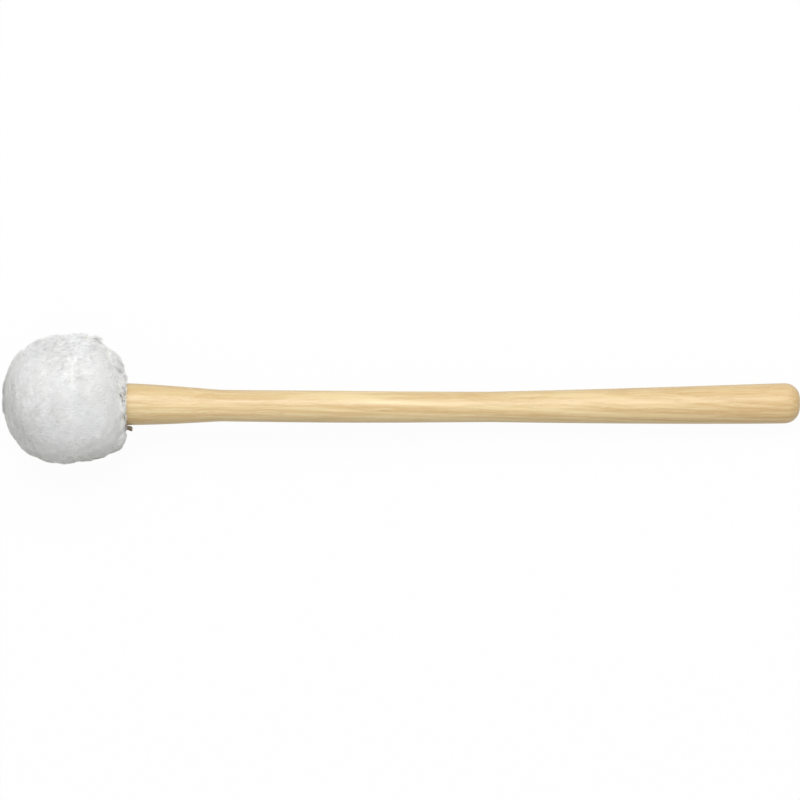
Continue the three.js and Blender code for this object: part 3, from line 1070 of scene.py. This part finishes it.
@dataclass
class Binding:
    """The thread wound round the hem, two plies twisted together, with a stopper knot at each end."""

    lie: Lie
    turns: int = 4
    pitch: float = 1.5 * MM
    radius: float = 12.1 * MM
    thread_radius: float = 0.5 * MM
    at: float = 311.66 * MM
    ply_share: float = 0.3
    twist_length: float = 3.2 * MM
    steps_turn: int = 110
    sides: int = 12
    knot_radius: float = 0.9 * MM
    knot_place: float = 12.5 * MM
    knot_gap: float = 1.3 * MM
    knot_length: float = 2.2 * MM
    knot_shift: float = 0.4 * MM
    knot_end_share: float = 0.12
    knot_wraps: int = 4
    wrap_radius: float = 0.3 * MM
    wrap_steps: int = 24
    wrap_sides: int = 8

    def helix(self, turn: float) -> Vector:
        """The middle of the thread at a number of turns from its start."""
        return self.lie.place(self.radius, math.pi + math.tau * turn, self.at + self.pitch * turn)

    def direction(self, turn: float) -> Vector:
        """The direction of the thread at a number of turns from its start."""
        step = 1e-4
        return (self.helix(turn + step) - self.helix(turn - step)).normalized()

    @staticmethod
    def sweep(
        name: str, path: np.ndarray, sides: int, reach: Callable[[np.ndarray, np.ndarray], np.ndarray]
    ) -> tuple[Object, np.ndarray]:
        """Sweeps a section along a path and closes both ends.

        Args:
            name: The piece's name.
            path: The points of the path, one row each.
            sides: Points round the section.
            reach: Gives the section's radius by the distance along the path and the angle round it.

        Returns:
            The swept piece, and the radius at each of its points.
        """
        ahead = np.gradient(path, axis=0)
        ahead /= np.linalg.norm(ahead, axis=1)[:, None]
        run = np.concatenate([[0], np.cumsum(np.linalg.norm(np.diff(path, axis=0), axis=1))])
        first = np.cross(ahead[0], (0.0, 0.0, 1.0))
        frames = []
        for direction in ahead:
            first = first - direction * (first @ direction)
            first /= np.linalg.norm(first)
            frames.append((first, np.cross(direction, first)))
        angles = np.arange(sides) * math.tau / sides
        radii = reach(run[:, None], angles[None, :])
        a, b = (np.array([pair[way] for pair in frames])[:, None, :] for way in (0, 1))
        around = a * np.cos(angles)[None, :, None] + b * np.sin(angles)[None, :, None]
        ring = path[:, None, :] + radii[..., None] * around
        ends = len(path) - 1
        faces = [
            [r * sides + s, r * sides + after, (r + 1) * sides + after, (r + 1) * sides + s]
            for r in range(ends)
            for s, after in ((s, (s + 1) % sides) for s in range(sides))
        ]
        faces.append(list(range(sides))[::-1])
        faces.append([ends * sides + s for s in range(sides)])
        return Sculpt.from_arrays(name, ring.reshape(-1, 3), faces), radii.ravel()

    def ply(self, run: np.ndarray, angle: np.ndarray) -> np.ndarray:
        """The reach of two twisted plies at a distance along the thread and an angle round it."""
        twist = math.tau * run / (2 * self.twist_length)
        return self.thread_radius * (1 - self.ply_share * (1 - np.abs(np.cos(angle - twist))))

    def thread(self, material: Material) -> Object:
        """Winds the thread.

        Args:
            material: The waxed cotton.

        Returns:
            The finished thread.
        """
        steps = self.turns * self.steps_turn
        lead = 2 * self.thread_radius
        path = [self.helix(self.turns * k / steps) for k in range(steps + 1)]
        path.insert(0, path[0] - self.direction(0) * lead)
        path.append(path[-1] + self.direction(self.turns) * lead)
        piece, radii = self.sweep("twisted_thread", np.array(path), self.sides, self.ply)
        groove = self.thread_radius * (1 - self.ply_share)
        Sculpt.mark(piece, "groove", smooth(radii, self.thread_radius, groove))
        return dress(piece, material, "gathering_thread")

    def knot(self, name: str, node: str, turn: float, way: int, material: Material) -> Object:
        """Ties the stopper knot past one end of the thread: wraps lying side by side round the thread.

        Args:
            name: The piece's name.
            node: The node that it replaces.
            turn: The end of the thread, in turns.
            way: 1 past the last turn and -1 before the first.
            material: The waxed cotton.

        Returns:
            The finished knot.
        """
        direction, end = self.direction(turn) * way, self.helix(turn)
        out = (end - self.lie.butt - self.lie.along * (end - self.lie.butt).dot(self.lie.along)).normalized()
        start = end + out * (self.knot_place - self.radius) + self.lie.along * (way * self.knot_shift)
        start += direction * self.knot_gap
        across = direction.cross(out)
        steps = self.wrap_steps * self.knot_wraps
        middle_share = 1 - 2 * self.knot_end_share
        path = []
        for k in range(steps + 1):
            share = k / steps
            angle = math.tau * self.knot_wraps * share
            fullness = math.sin(math.pi * (self.knot_end_share + middle_share * share))
            swell = (self.knot_radius - self.wrap_radius) * math.sqrt(max(fullness, 0))
            run = self.wrap_radius + (self.knot_length - 2 * self.wrap_radius) * share
            path.append(start + direction * run + (out * math.cos(angle) + across * math.sin(angle)) * swell)
        piece, radii = self.sweep(
            name, np.array(path), self.wrap_sides, lambda run, angle: self.wrap_radius + 0 * (run + angle)
        )
        Sculpt.mark(piece, "groove", 0 * radii)
        return dress(piece, material, node)


@dataclass(frozen=True)
class Tuft:
    """A tuft that shows on the head's outline from above.

    bearing is in degrees round the head from the handle's side, width is half its span, and height is
    how far it stands out, all in the level plane through the middle of the head.
    """

    bearing: float
    width: float
    height: float


@dataclass
class FleeceCoat:
    """The fleece: a thick lumpy coat, gathered at the neck, under a nap of fine fibres.

    Each parting is where the gathered mouth opens: its turn and half width in degrees, and its depth.
    """

    lie: Lie
    head: Head
    tufts: tuple[Tuft, ...] = (
        Tuft(30, 3.0 * MM, 1.0 * MM),
        Tuft(39, 5.0 * MM, 2.1 * MM),
        Tuft(46, 3.2 * MM, 1.3 * MM),
        Tuft(65.5, 2.4 * MM, 1.6 * MM),
        Tuft(80, 4.8 * MM, 1.2 * MM),
        Tuft(93, 5.0 * MM, 0.3 * MM),
        Tuft(119, 3.2 * MM, 0.8 * MM),
        Tuft(125, 5.0 * MM, 0.9 * MM),
        Tuft(141, 4.6 * MM, 1.4 * MM),
        Tuft(152, 3.6 * MM, 0.9 * MM),
        Tuft(170, 4.2 * MM, 0.9 * MM),
        Tuft(184.5, 2.0 * MM, 1.0 * MM),
        Tuft(194, 1.8 * MM, 0.4 * MM),
        Tuft(212, 5.0 * MM, 1.0 * MM),
        Tuft(230, 6.5 * MM, 1.4 * MM),
        Tuft(248, 6.0 * MM, 1.1 * MM),
        Tuft(268, 6.0 * MM, 0.8 * MM),
        Tuft(291, 3.0 * MM, 0.5 * MM),
        Tuft(300, 3.2 * MM, 0.5 * MM),
        Tuft(309, 2.6 * MM, 0.4 * MM),
        Tuft(318, 4.2 * MM, 2.0 * MM),
        Tuft(324, 4.0 * MM, 2.3 * MM),
    )
    partings: tuple[tuple[float, float, float], ...] = ((14.0, 7.0, 1.7 * MM), (-36.0, 14.0, 0.7 * MM))
    seed: int = 11
    lean_run: float = 16 * MM
    lay_past: float = 2 * MM
    side_sweep: float = 0.2
    swirl: float = 0.25
    swirl_waves: tuple[tuple[float, ...], ...] = ((0, 210.0, 90.0), (160.0, 0, 120.0), (130.0, 170.0, 0))
    swirl_starts: tuple[float, ...] = (0.6, 2.1, 4.0)
    clumps: int = 430
    clump_radius: float = 5.2 * MM
    clump_height: float = 0.26 * MM
    locks: int = 64
    lock_radius: float = 6.5 * MM
    lock_height: float = 0.75 * MM
    radius_span: tuple[float, float] = (0.75, 1.35)
    height_span: tuple[float, float] = (0.35, 1.0)
    round_fullness: float = 1.5
    tuft_fullness: float = 0.5
    tuft_sway: float = 0.15
    sway_step: float = 2.4
    tuft_upright: float = 0.5
    front_pull: float = 1.45
    back_pull: float = 0.8
    side_pull: float = 1.05
    clump_lean: float = 0.9
    lean_height: float = 0.75 * MM
    lean_limit: float = 1.6 * MM
    stroke_depth: float = 0.05 * MM
    stroke_scale: float = 1900.0
    stroke_share: float = 0.6
    stroke_waver: float = 9.0
    waver_wave: tuple[float, float, float] = (240, 310, 190.0)
    bare_coat_shade_mark: float = 0.05
    skin: float = 0.4 * MM
    gathers: int = 12
    gather_depth: float = 0.7 * MM
    gather_run: float = 7.45 * MM
    mouth_reach: float = 1.0 * MM
    mouth_run: float = 2.4 * MM
    bare_form_share: float = 0.4
    steps_round: int = 240
    steps_rear: int = 62
    steps_front: int = 70
    steps_inside: int = 14
    flow: np.ndarray | None = None

    @property
    def centre(self) -> np.ndarray:
        """The middle of the head."""
        return self.lie.on_axis(self.head.at)

    def outline(self) -> Outline:
        """Draws the coat's section: inside from the front to the mouth, then outside back to the front.

        Returns:
            Radius and place of each point.
        """
        head = self.head
        inner_end = head.mouth_angle(head.pile_inner, head.pile_mouth)
        points = head.ball(head.pile_inner, 0, inner_end, self.steps_inside)
        mouth = math.asin((head.pile_mouth / head.pile_radius) ** (head.rear_fullness / 2))
        power = 2 / head.rear_fullness
        for step in range(self.steps_rear):
            angle = mouth + (math.pi / 2 - mouth) * step / self.steps_rear
            radius = head.pile_radius * math.sin(angle) ** power
            rim = self.mouth_reach * bell(radius - head.pile_mouth, self.mouth_run)
            points.append((radius, head.at - (head.pile_rear * math.cos(angle) ** power + rim)))
        for step in range(self.steps_front + 1):
            angle = math.pi / 2 * (1 - step / self.steps_front)
            points.append((head.pile_radius * math.sin(angle), head.at + head.pile_front * math.cos(angle)))
        return points

    def lay(self, points: np.ndarray, normals: np.ndarray, tangle: float = 0.0) -> np.ndarray:
        """Gives the way that the nap lies: back towards the handle, with slow swirls and some tangle.

        Args:
            points: Places on the coat, one row each.
            normals: The coat's normals there.
            tangle: How far chance turns each direction.

        Returns:
            A unit direction along the surface for each place.
        """
        out = points - self.centre
        back = unit(self.lie.on_axis(self.head.rear_at - self.lay_past)[None, :] - points)
        waves = zip(self.swirl_waves, self.swirl_starts)
        swirl = np.stack([np.sin(out @ np.array(wave) + start) for wave, start in waves], axis=1)
        chance = np.random.default_rng(self.seed).normal(0, tangle, points.shape)
        way = back + self.side_sweep * np.array(self.lie.side)[None, :] + self.swirl * swirl + chance
        return unit(way - normals * np.sum(way * normals, axis=1)[:, None])

    def scattered(self, count: int, radius: float, height: float, rng: Rng) -> list[np.ndarray]:
        """Scatters clumps evenly over the ball.

        Args:
            count: How many.
            radius: The middling radius of a clump.
            height: The height of the tallest.
            rng: The source of chance.

        Returns:
            The direction of each clump from the middle of the head, its radius and its height.
        """
        index = np.arange(count)
        polar = np.arccos(1 - 2 * (index + 0.5) / count)
        turn = index * math.pi * (3 - math.sqrt(5))
        ways = np.stack([np.sin(polar) * np.cos(turn), np.sin(polar) * np.sin(turn), np.cos(polar)], axis=1)
        ways += rng.normal(0, 1 / math.sqrt(count), ways.shape)
        radii = radius * rng.uniform(*self.radius_span, count)
        return [unit(ways), radii, height * rng.uniform(*self.height_span, count)]

    def rise(self, points: np.ndarray, lay: np.ndarray) -> np.ndarray:
        """How far the clumps, the locks and the outline's tufts lift the coat at each place.

        Args:
            points: Places on the bare form, one row each.
            lay: The way that the nap lies there.

        Returns:
            The lift, with a crease where two meet.
        """
        rng = np.random.default_rng(self.seed)
        clumps = self.scattered(self.clumps, self.clump_radius, self.clump_height, rng)
        locks = self.scattered(self.locks, self.lock_radius, self.lock_height, rng)
        bearings = np.radians([tuft.bearing for tuft in self.tufts])
        sway = self.tuft_sway * np.sin(self.sway_step * np.arange(len(bearings)))
        ways = unit(np.stack([np.cos(bearings), np.sin(bearings), sway], axis=1))
        tufts = [ways, [tuft.width for tuft in self.tufts], [tuft.height for tuft in self.tufts]]
        out = points - self.centre
        reach = np.linalg.norm(out, axis=1)
        lift = np.zeros(len(points))
        for table, upright, fullness in (
            (clumps, 1.0, self.round_fullness),
            (locks, 1.0, self.round_fullness),
            (tufts, self.tuft_upright, self.tuft_fullness),
        ):
            for way, size, height in zip(*table):
                apart = (out - way[None, :] * reach[:, None]) * np.array((1, 1, upright))
                run = np.sum(apart * lay, axis=1)
                across = np.sqrt(np.maximum(np.linalg.norm(apart, axis=1) ** 2 - run**2, 0))
                shifted = np.where(run > 0, run * self.front_pull, run * self.back_pull)
                share = (shifted**2 + (across * self.side_pull) ** 2) / size**2
                lift = np.maximum(lift, height * np.maximum(1 - share, 0) ** fullness)
        return lift

    def body(self, material: Material) -> Object:
        """Turns the coat, raises its clumps, gathers its mouth and lays it on the floor.

        Args:
            material: The fleece.

        Returns:
            The finished coat.
        """
        head, along = self.head, np.array(self.lie.along)
        piece = Sculpt.turned("fleece_body", self.outline(), self.steps_round, self.lie)
        points, normals = Sculpt.points(piece), Sculpt.normals(piece)
        _, turn, place = self.lie.cylindrical(points)
        out = points - self.centre
        outside = np.linalg.norm(out, axis=1) > head.pile_inner + self.skin
        mouth = (1 - smooth(place, head.rear_at, head.rear_at + self.gather_run)) * outside
        leant = smooth(place, head.rear_at, head.rear_at + self.lean_run) * outside
        lay = self.lay(points, normals)
        lift = self.rise(points, lay) * outside
        waver = self.stroke_waver * np.sin(out @ np.array(self.waver_wave))
        stroke = np.sin(self.stroke_scale * np.sum(np.cross(out, along) * self.stroke_share, axis=1) + waver)
        points = points + normals * (lift + self.stroke_depth * stroke * outside)[:, None]
        points += lay * np.minimum(self.clump_lean * lift**2 / self.lean_height, self.lean_limit)[:, None]
        gather = self.gather_depth * (1 + np.cos(self.gathers * turn)) / 2
        for parting, width, depth in self.partings:
            gather += depth * bell(turn_from(math.radians(parting), turn), math.radians(width))
        points += np.outer(gather * mouth, along)
        points += np.outer(head.pile_lean * leant, np.array(self.lie.side))
        points[:, 2] = np.maximum(points[:, 2], 0)
        Sculpt.move(piece, points)
        self.flow = self.bare_form_share * normals + Sculpt.normals(piece)
        # Marks the whole coat as deep pile, so it takes the darker root colour: painted shade where it shows
        # between the fibres.
        Sculpt.mark(piece, "tip", np.full(len(points), self.bare_coat_shade_mark))
        dress(piece, material, "fleece_pile")
        return piece


class Fibre:
    """One curved, tapered fibre, modelled once and copied."""

    rings = 2
    taper = 0.92
    tip = 0.02

    def __init__(self) -> None:
        """Models the fibre along +X with its root at the origin, one unit long and one thick."""
        bpy.ops.object.select_all(action="DESELECT")
        turned = {"rotation": (0, math.pi / 2, 0), "fill_type": "NGON"}
        bpy.ops.mesh.primitive_circle_add(vertices=3, radius=0.5, **turned)
        seed = bpy.context.object
        bpy.ops.object.transform_apply(location=False, rotation=True, scale=False)
        bpy.ops.object.mode_set(mode="EDIT")
        bpy.ops.mesh.select_all(action="SELECT")
        for ring in range(self.rings):
            bpy.ops.mesh.extrude_region_move(TRANSFORM_OT_translate={"value": (1 / self.rings, 0, 0)})
            size = self.taper if ring < self.rings - 1 else self.tip
            bpy.ops.transform.resize(value=(1, size, size))
        bpy.ops.mesh.merge(type="CENTER")
        bpy.ops.mesh.select_all(action="SELECT")
        bpy.ops.mesh.quads_convert_to_tris()
        bpy.ops.mesh.normals_make_consistent(inside=False)
        bpy.ops.object.mode_set(mode="OBJECT")
        self.points = Sculpt.points(seed)
        self.faces = np.array([list(polygon.vertices) for polygon in seed.data.polygons])
        bpy.data.objects.remove(seed, do_unlink=True)


@dataclass
class Roots:
    """Where fibres stand, and for each its outward way, its lie, its length and how steeply it starts."""

    at: np.ndarray
    out: np.ndarray
    way: np.ndarray
    length: np.ndarray
    lift: np.ndarray


@dataclass
class Nap:
    """The fine fibres that lie over the coat and close in round the neck."""

    coat: FleeceCoat
    material: Material
    length: float = 4.2 * MM
    thickness: float = 0.16 * MM
    lip_thickness: float = 0.11 * MM
    lift: float = 0.26
    length_span: tuple[float, float] = (0.7, 1.3)
    lift_span: tuple[float, float] = (0.6, 1.2)
    bend: float = 0.2
    own_share: float = 0.02
    up_share: float = 0.4
    root_shade_mark: float = 0.6
    yaw: float = math.radians(13)
    tangle: float = 0.16
    sink: float = 0.14 * MM
    floor_gap: float = 0.02 * MM
    skin: float = 0.6 * MM
    zones: tuple[str, ...] = ("rear", "shoulder", "waist", "middle", "crown", "front")
    per_zone: int = 19_000
    mouth_share: float = 0.75
    lip_fibres: int = 5_000
    lip_length: float = 1.3 * MM
    lip_length_span: tuple[float, float] = (0.5, 1.0)
    lip_lift_span: tuple[float, float] = (0.4, 1.2)
    lip_at: float = 311.4 * MM
    lip_end_at: float = 314 * MM
    lip_margin: float = 0.2 * MM
    lip_ways: float = 0.5
    frill_span: float = math.radians(30)
    frill_cover: float = 0.03
    cell_edge: float = 0.1
    seed: int = 5

    @staticmethod
    def roots(
        points: np.ndarray, normals: np.ndarray, count: int, rng: Rng, keep: np.ndarray
    ) -> tuple[np.ndarray, np.ndarray]:
        """Scatters roots evenly over the kept faces of a piece.

        Args:
            points: The points of the piece that carries the fibres.
            normals: The way that a fibre stands at each of its points.
            count: How many roots.
            rng: The source of chance.
            keep: The corners of the triangles to use, three point numbers a row.

        Returns:
            The places of the roots and the way that each stands.
        """
        a, b, c = points[keep[:, 0]], points[keep[:, 1]], points[keep[:, 2]]
        area = np.linalg.norm(np.cross(b - a, c - a), axis=1)
        chosen = rng.choice(len(keep), count, p=area / area.sum())
        first, second = np.sqrt(rng.random(count)), rng.random(count)
        shares = np.stack([1 - first, first * (1 - second), first * second], axis=1)[..., None]
        corners = keep[chosen]
        return (points[corners] * shares).sum(axis=1), unit((normals[corners] * shares).sum(axis=1))

    def grow(self, name: str, fibre: Fibre, roots: Roots, thick: float) -> None:
        """Copies the fibre to every root, with normals that follow the coat, and dresses the piece.

        Args:
            name: The piece's name.
            fibre: The fibre to copy.
            roots: Where the fibres stand.
            thick: The thickness of each fibre.
        """
        count, corners = len(roots.at), len(fibre.points)
        x, y, z = fibre.points.T
        run = x[None, :] * roots.length[:, None]
        curve = roots.lift[:, None] * x[None, :] - self.bend * x[None, :] ** 2
        rise = roots.length[:, None] * curve - self.sink
        points = (
            roots.at[:, None, :]
            + roots.way[:, None, :] * run[..., None]
            + roots.out[:, None, :] * (rise + z[None, :] * thick)[..., None]
            + np.cross(roots.out, roots.way)[:, None, :] * (y[None, :, None] * thick)
        )
        flat = points.reshape(-1, 3)
        flat[:, 2] = np.maximum(flat[:, 2], self.floor_gap)
        faces = (fibre.faces[None, :, :] + (np.arange(count) * corners)[:, None, None]).reshape(-1, 3)
        piece = Sculpt.from_arrays(name, flat, faces.tolist())
        # The root end of each fibre is marked low, so it takes the darker root colour: painted shade deep in
        # the pile.
        tips = np.clip(self.root_shade_mark + (1 - self.root_shade_mark) * x, 0, 1)
        Sculpt.mark(piece, "tip", np.tile(tips, count))
        self.unwrap(piece, fibre, count)
        soft = np.repeat(roots.out, corners, axis=0)
        mixed = unit(soft + self.own_share * Sculpt.normals(piece) + np.array((0, 0, self.up_share)))
        piece.data.normals_split_custom_set_from_vertices(mixed.tolist())
        dress(piece, self.material, "fleece_pile")

    def unwrap(self, piece: Object, fibre: Fibre, count: int) -> None:
        """Gives each fibre its own small cell of a UV map.

        Args:
            piece: The piece that holds the fibres.
            fibre: The fibre that was copied.
            count: How many fibres there are.
        """
        columns = math.ceil(math.sqrt(count))
        x, y, z = fibre.points.T
        turn = (np.arctan2(z, y) / math.tau) % 1
        span = 1 - 2 * self.cell_edge
        cell = np.stack([self.cell_edge + span * turn, self.cell_edge + span * x], axis=1)
        number = np.arange(count)
        origin = np.stack([number % columns, number // columns], axis=1)
        place = (cell[None, :, :] + origin[:, None, :]) / columns
        layer = piece.data.uv_layers.new(name="OFBake")
        corners = Sculpt.read(piece.data.loops, "vertex_index")
        layer.data.foreach_set("uv", place.reshape(-1, 2)[corners].ravel())

    def build(self, body: Object, cloth: Object) -> None:
        """Covers the coat, zone by zone from the back to the front, and then the neck.

        Args:
            body: The coat.
            cloth: The ground cloth, which carries pile of its own at the neck.
        """
        rng = np.random.default_rng(self.seed)
        fibre = Fibre()
        coat, head, lie = self.coat, self.coat.head, self.coat.lie
        points, faces = Sculpt.points(body), Sculpt.triangles(body)
        middle = points[faces].mean(axis=1)
        place = lie.cylindrical(middle)[2]
        bare = np.linalg.norm(middle - coat.centre, axis=1) > head.pile_inner + self.skin
        bare &= middle[:, 2] > self.skin
        edges = np.quantile(place[bare], np.linspace(0, 1, len(self.zones) + 1))
        for zone, label in enumerate(self.zones):
            inside = (place >= edges[zone]) & (place <= edges[zone + 1])
            at, out = self.roots(points, coat.flow, self.per_zone, rng, faces[bare & inside])
            way = coat.lay(at, out, self.tangle)
            yaw = rng.normal(0, self.yaw, len(at))[:, None]
            way = way * np.cos(yaw) + np.cross(out, way) * np.sin(yaw)
            away = smooth(lie.cylindrical(at)[2], head.rear_at, head.at - head.wrap_inner)
            length = self.length * rng.uniform(*self.length_span, len(at))
            length *= self.mouth_share + (1 - self.mouth_share) * away
            lift = self.lift * rng.uniform(*self.lift_span, len(at))
            self.grow(f"nap_{label}", fibre, Roots(at, out, way, length, lift), self.thickness)
        self.lip(fibre, cloth, rng)

    def lip(self, fibre: Fibre, cloth: Object, rng: Rng) -> None:
        """Grows the pile that stands off the gathered hem and hides the thread.

        Args:
            fibre: The fibre to copy.
            cloth: The ground cloth.
            rng: The source of chance.
        """
        lie, head = self.coat.lie, self.coat.head
        points, faces = Sculpt.points(cloth), Sculpt.triangles(cloth)
        radius, turn, place = lie.cylindrical(points[faces].mean(axis=1))
        hem = (place < self.lip_end_at) & (radius > head.hem_outer - self.lip_margin)
        frill = np.abs(turn_from(GroundCloth.frill_turn, turn)) < self.frill_span
        frill &= rng.random(len(faces)) < self.frill_cover
        keep = faces[hem & ((place > self.lip_at) | frill)]
        at, out = self.roots(points, Sculpt.normals(cloth), self.lip_fibres, rng, keep)
        back = -np.array(lie.along)[None, :] + np.zeros_like(at)
        way = (1 - self.lip_ways) * back + self.lip_ways * rng.normal(0, 1, at.shape)
        way = unit(way - out * np.sum(way * out, axis=1)[:, None])
        length = self.lip_length * rng.uniform(*self.lip_length_span, len(at))
        lift = rng.uniform(*self.lip_lift_span, len(at))
        self.grow("nap_neck", fibre, Roots(at, out, way, length, lift), self.lip_thickness)


@dataclass
class Studio:
    """The floor, the light and the camera, which looks straight down."""

    lens: float = 200.0
    sensor: float = 36.0
    camera_at: tuple[float, float, float] = (-1.14 * MM, -0.69 * MM, 2.066)
    camera_roll: float = math.radians(-0.1)
    key_at: tuple[float, float, float] = (-0.05, 0.8, 1.42)
    key_size: float = 0.8
    key_energy: float = 17.3
    fill: float = 0.74
    floor_size: float = 6.0
    floor_white: float = 0.96
    mirrored_white: float = 0.3
    floor_lit: Colour = srgb(225, 225, 225)
    floor_dull: Colour = srgb(153, 148, 124)
    white: Colour = (1, 1, 1, 1)

    def build(self) -> None:
        """Makes the camera first, then the floor, the lamp and the world."""
        self.camera()
        self.floor()
        self.key_lamp()
        self.world()
        bpy.context.scene.view_settings.view_transform = "Standard"

    def camera(self) -> None:
        """Looks straight down, with the handle level in the picture."""
        data = bpy.data.cameras.new("camera")
        data.lens, data.sensor_width, data.sensor_height = self.lens, self.sensor, self.sensor
        camera = bpy.data.objects.new("camera", data)
        camera.location = self.camera_at
        camera.rotation_euler = (0, 0, self.camera_roll)
        bpy.context.scene.collection.objects.link(camera)
        bpy.context.scene.camera = camera

    def floor(self) -> None:
        """Lays a plain floor that shows white, keeps a soft shadow and is clear from below."""
        bpy.ops.object.select_all(action="DESELECT")
        bpy.ops.mesh.primitive_plane_add(size=self.floor_size, location=(0, 0, 0))
        floor = bpy.context.object
        floor.name = "floor"
        material = bpy.data.materials.new("floor")
        material.use_nodes = True
        material.node_tree.nodes.clear()
        graph = Graph(material.node_tree)
        path = graph.add("NodeLightPath").outputs
        seen = graph.math("ADD", path["Is Camera Ray"], path["Is Glossy Ray"], clamp=True)
        seen = graph.math("ADD", seen, path["Is Transmission Ray"], clamp=True)
        lit = graph.add("NodeBsdfDiffuse", {"Color": self.floor_lit}).outputs[0]
        glow = graph.add("NodeEmission", {"Color": self.white, "Strength": 1.0}).outputs[0]
        less = graph.math("MULTIPLY", path["Is Glossy Ray"], self.floor_white - self.mirrored_white)
        share = graph.math("SUBTRACT", self.floor_white, less)
        white = graph.add("NodeMixShader", {0: share, 1: lit, 2: glow}).outputs[0]
        dull = graph.add("NodeBsdfDiffuse", {"Color": self.floor_dull}).outputs[0]
        both = graph.add("NodeMixShader", {0: seen, 1: dull, 2: white}).outputs[0]
        behind = graph.add("NodeNewGeometry").outputs["Backfacing"]
        under = graph.math("MULTIPLY", behind, path["Is Camera Ray"])
        clear = graph.add("NodeBsdfTransparent").outputs[0]
        surface = graph.add("NodeMixShader", {0: under, 1: both, 2: clear}).outputs[0]
        graph.add("NodeOutputMaterial", {"Surface": surface})
        floor.data.materials.append(material)

    def key_lamp(self) -> None:
        """Hangs a square lamp that faces the middle of the mallet."""
        data = bpy.data.lights.new("key", "AREA")
        data.shape, data.size, data.energy = "SQUARE", self.key_size, self.key_energy
        lamp = bpy.data.objects.new("key", data)
        lamp.location = self.key_at
        lamp.rotation_euler = (-Vector(self.key_at)).to_track_quat("-Z", "Y").to_euler()
        lamp.visible_camera = False
        bpy.context.scene.collection.objects.link(lamp)

    def world(self) -> None:
        """Fills the shadows evenly, and shows white where the camera sees past the floor."""
        world = bpy.data.worlds.new("world")
        bpy.context.scene.world = world
        world.use_nodes = True
        graph = Graph(world.node_tree)
        path = graph.add("NodeLightPath").outputs
        seen = graph.math("ADD", path["Is Camera Ray"], path["Is Transmission Ray"], clamp=True)
        strength = graph.scaled(seen, 1 - self.fill, self.fill)
        graph.feed(world.node_tree.nodes["Background"], {"Color": self.white, "Strength": strength})


def finish_kept_nodes(lie: Lie) -> None:
    """Gives the nodes that no piece replaces their materials.

    Args:
        lie: How the mallet lies.
    """
    core = Felt("core_felt", srgb(214, 208, 194), srgb(176, 168, 150), 1500.0).material()
    steel = TurnedSteel("turned_steel", lie).material()
    kept = {
        "seat_washer": Leather("washer_leather").material(),
        "core_disc_rear": core,
        "core_disc_middle": core,
        "core_disc_front": core,
        "front_washer": steel,
        "core_screw": steel,
    }
    for node, material in kept.items():
        frame["nodes"][node].data.materials.clear()
        frame["nodes"][node].data.materials.append(material)
        log.info("%s: kept", node)


def main() -> None:
    """Builds the mallet from the handle out, and reports each piece."""
    logging.basicConfig(level=logging.INFO, format="%(name)s: %(message)s")
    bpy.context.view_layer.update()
    lie = Lie.from_record(frame["record"])
    head = Head()
    Studio().build()
    Handle(lie).build(Hickory("lacquered_hickory", lie).material())
    finish_kept_nodes(lie)
    FeltWrap(lie, head).build(Felt("wrap_felt", srgb(232, 229, 220), srgb(204, 200, 188)).material())
    cloth = GroundCloth(lie, head).build(KnitCloth("knit_cloth", lie).material())
    thread = WaxedThread("waxed_thread").material()
    binding = Binding(lie)
    binding.thread(thread)
    binding.knot("knot_at_start", "thread_start_knot", 0, -1, thread)
    binding.knot("knot_at_end", "thread_end_knot", binding.turns, 1, thread)
    coat = FleeceCoat(lie, head)
    fleece = Fleece("white_fleece").material()
    body = coat.body(fleece)
    Nap(coat, fleece).build(body, cloth)


if __name__ == "__main__":
    main()
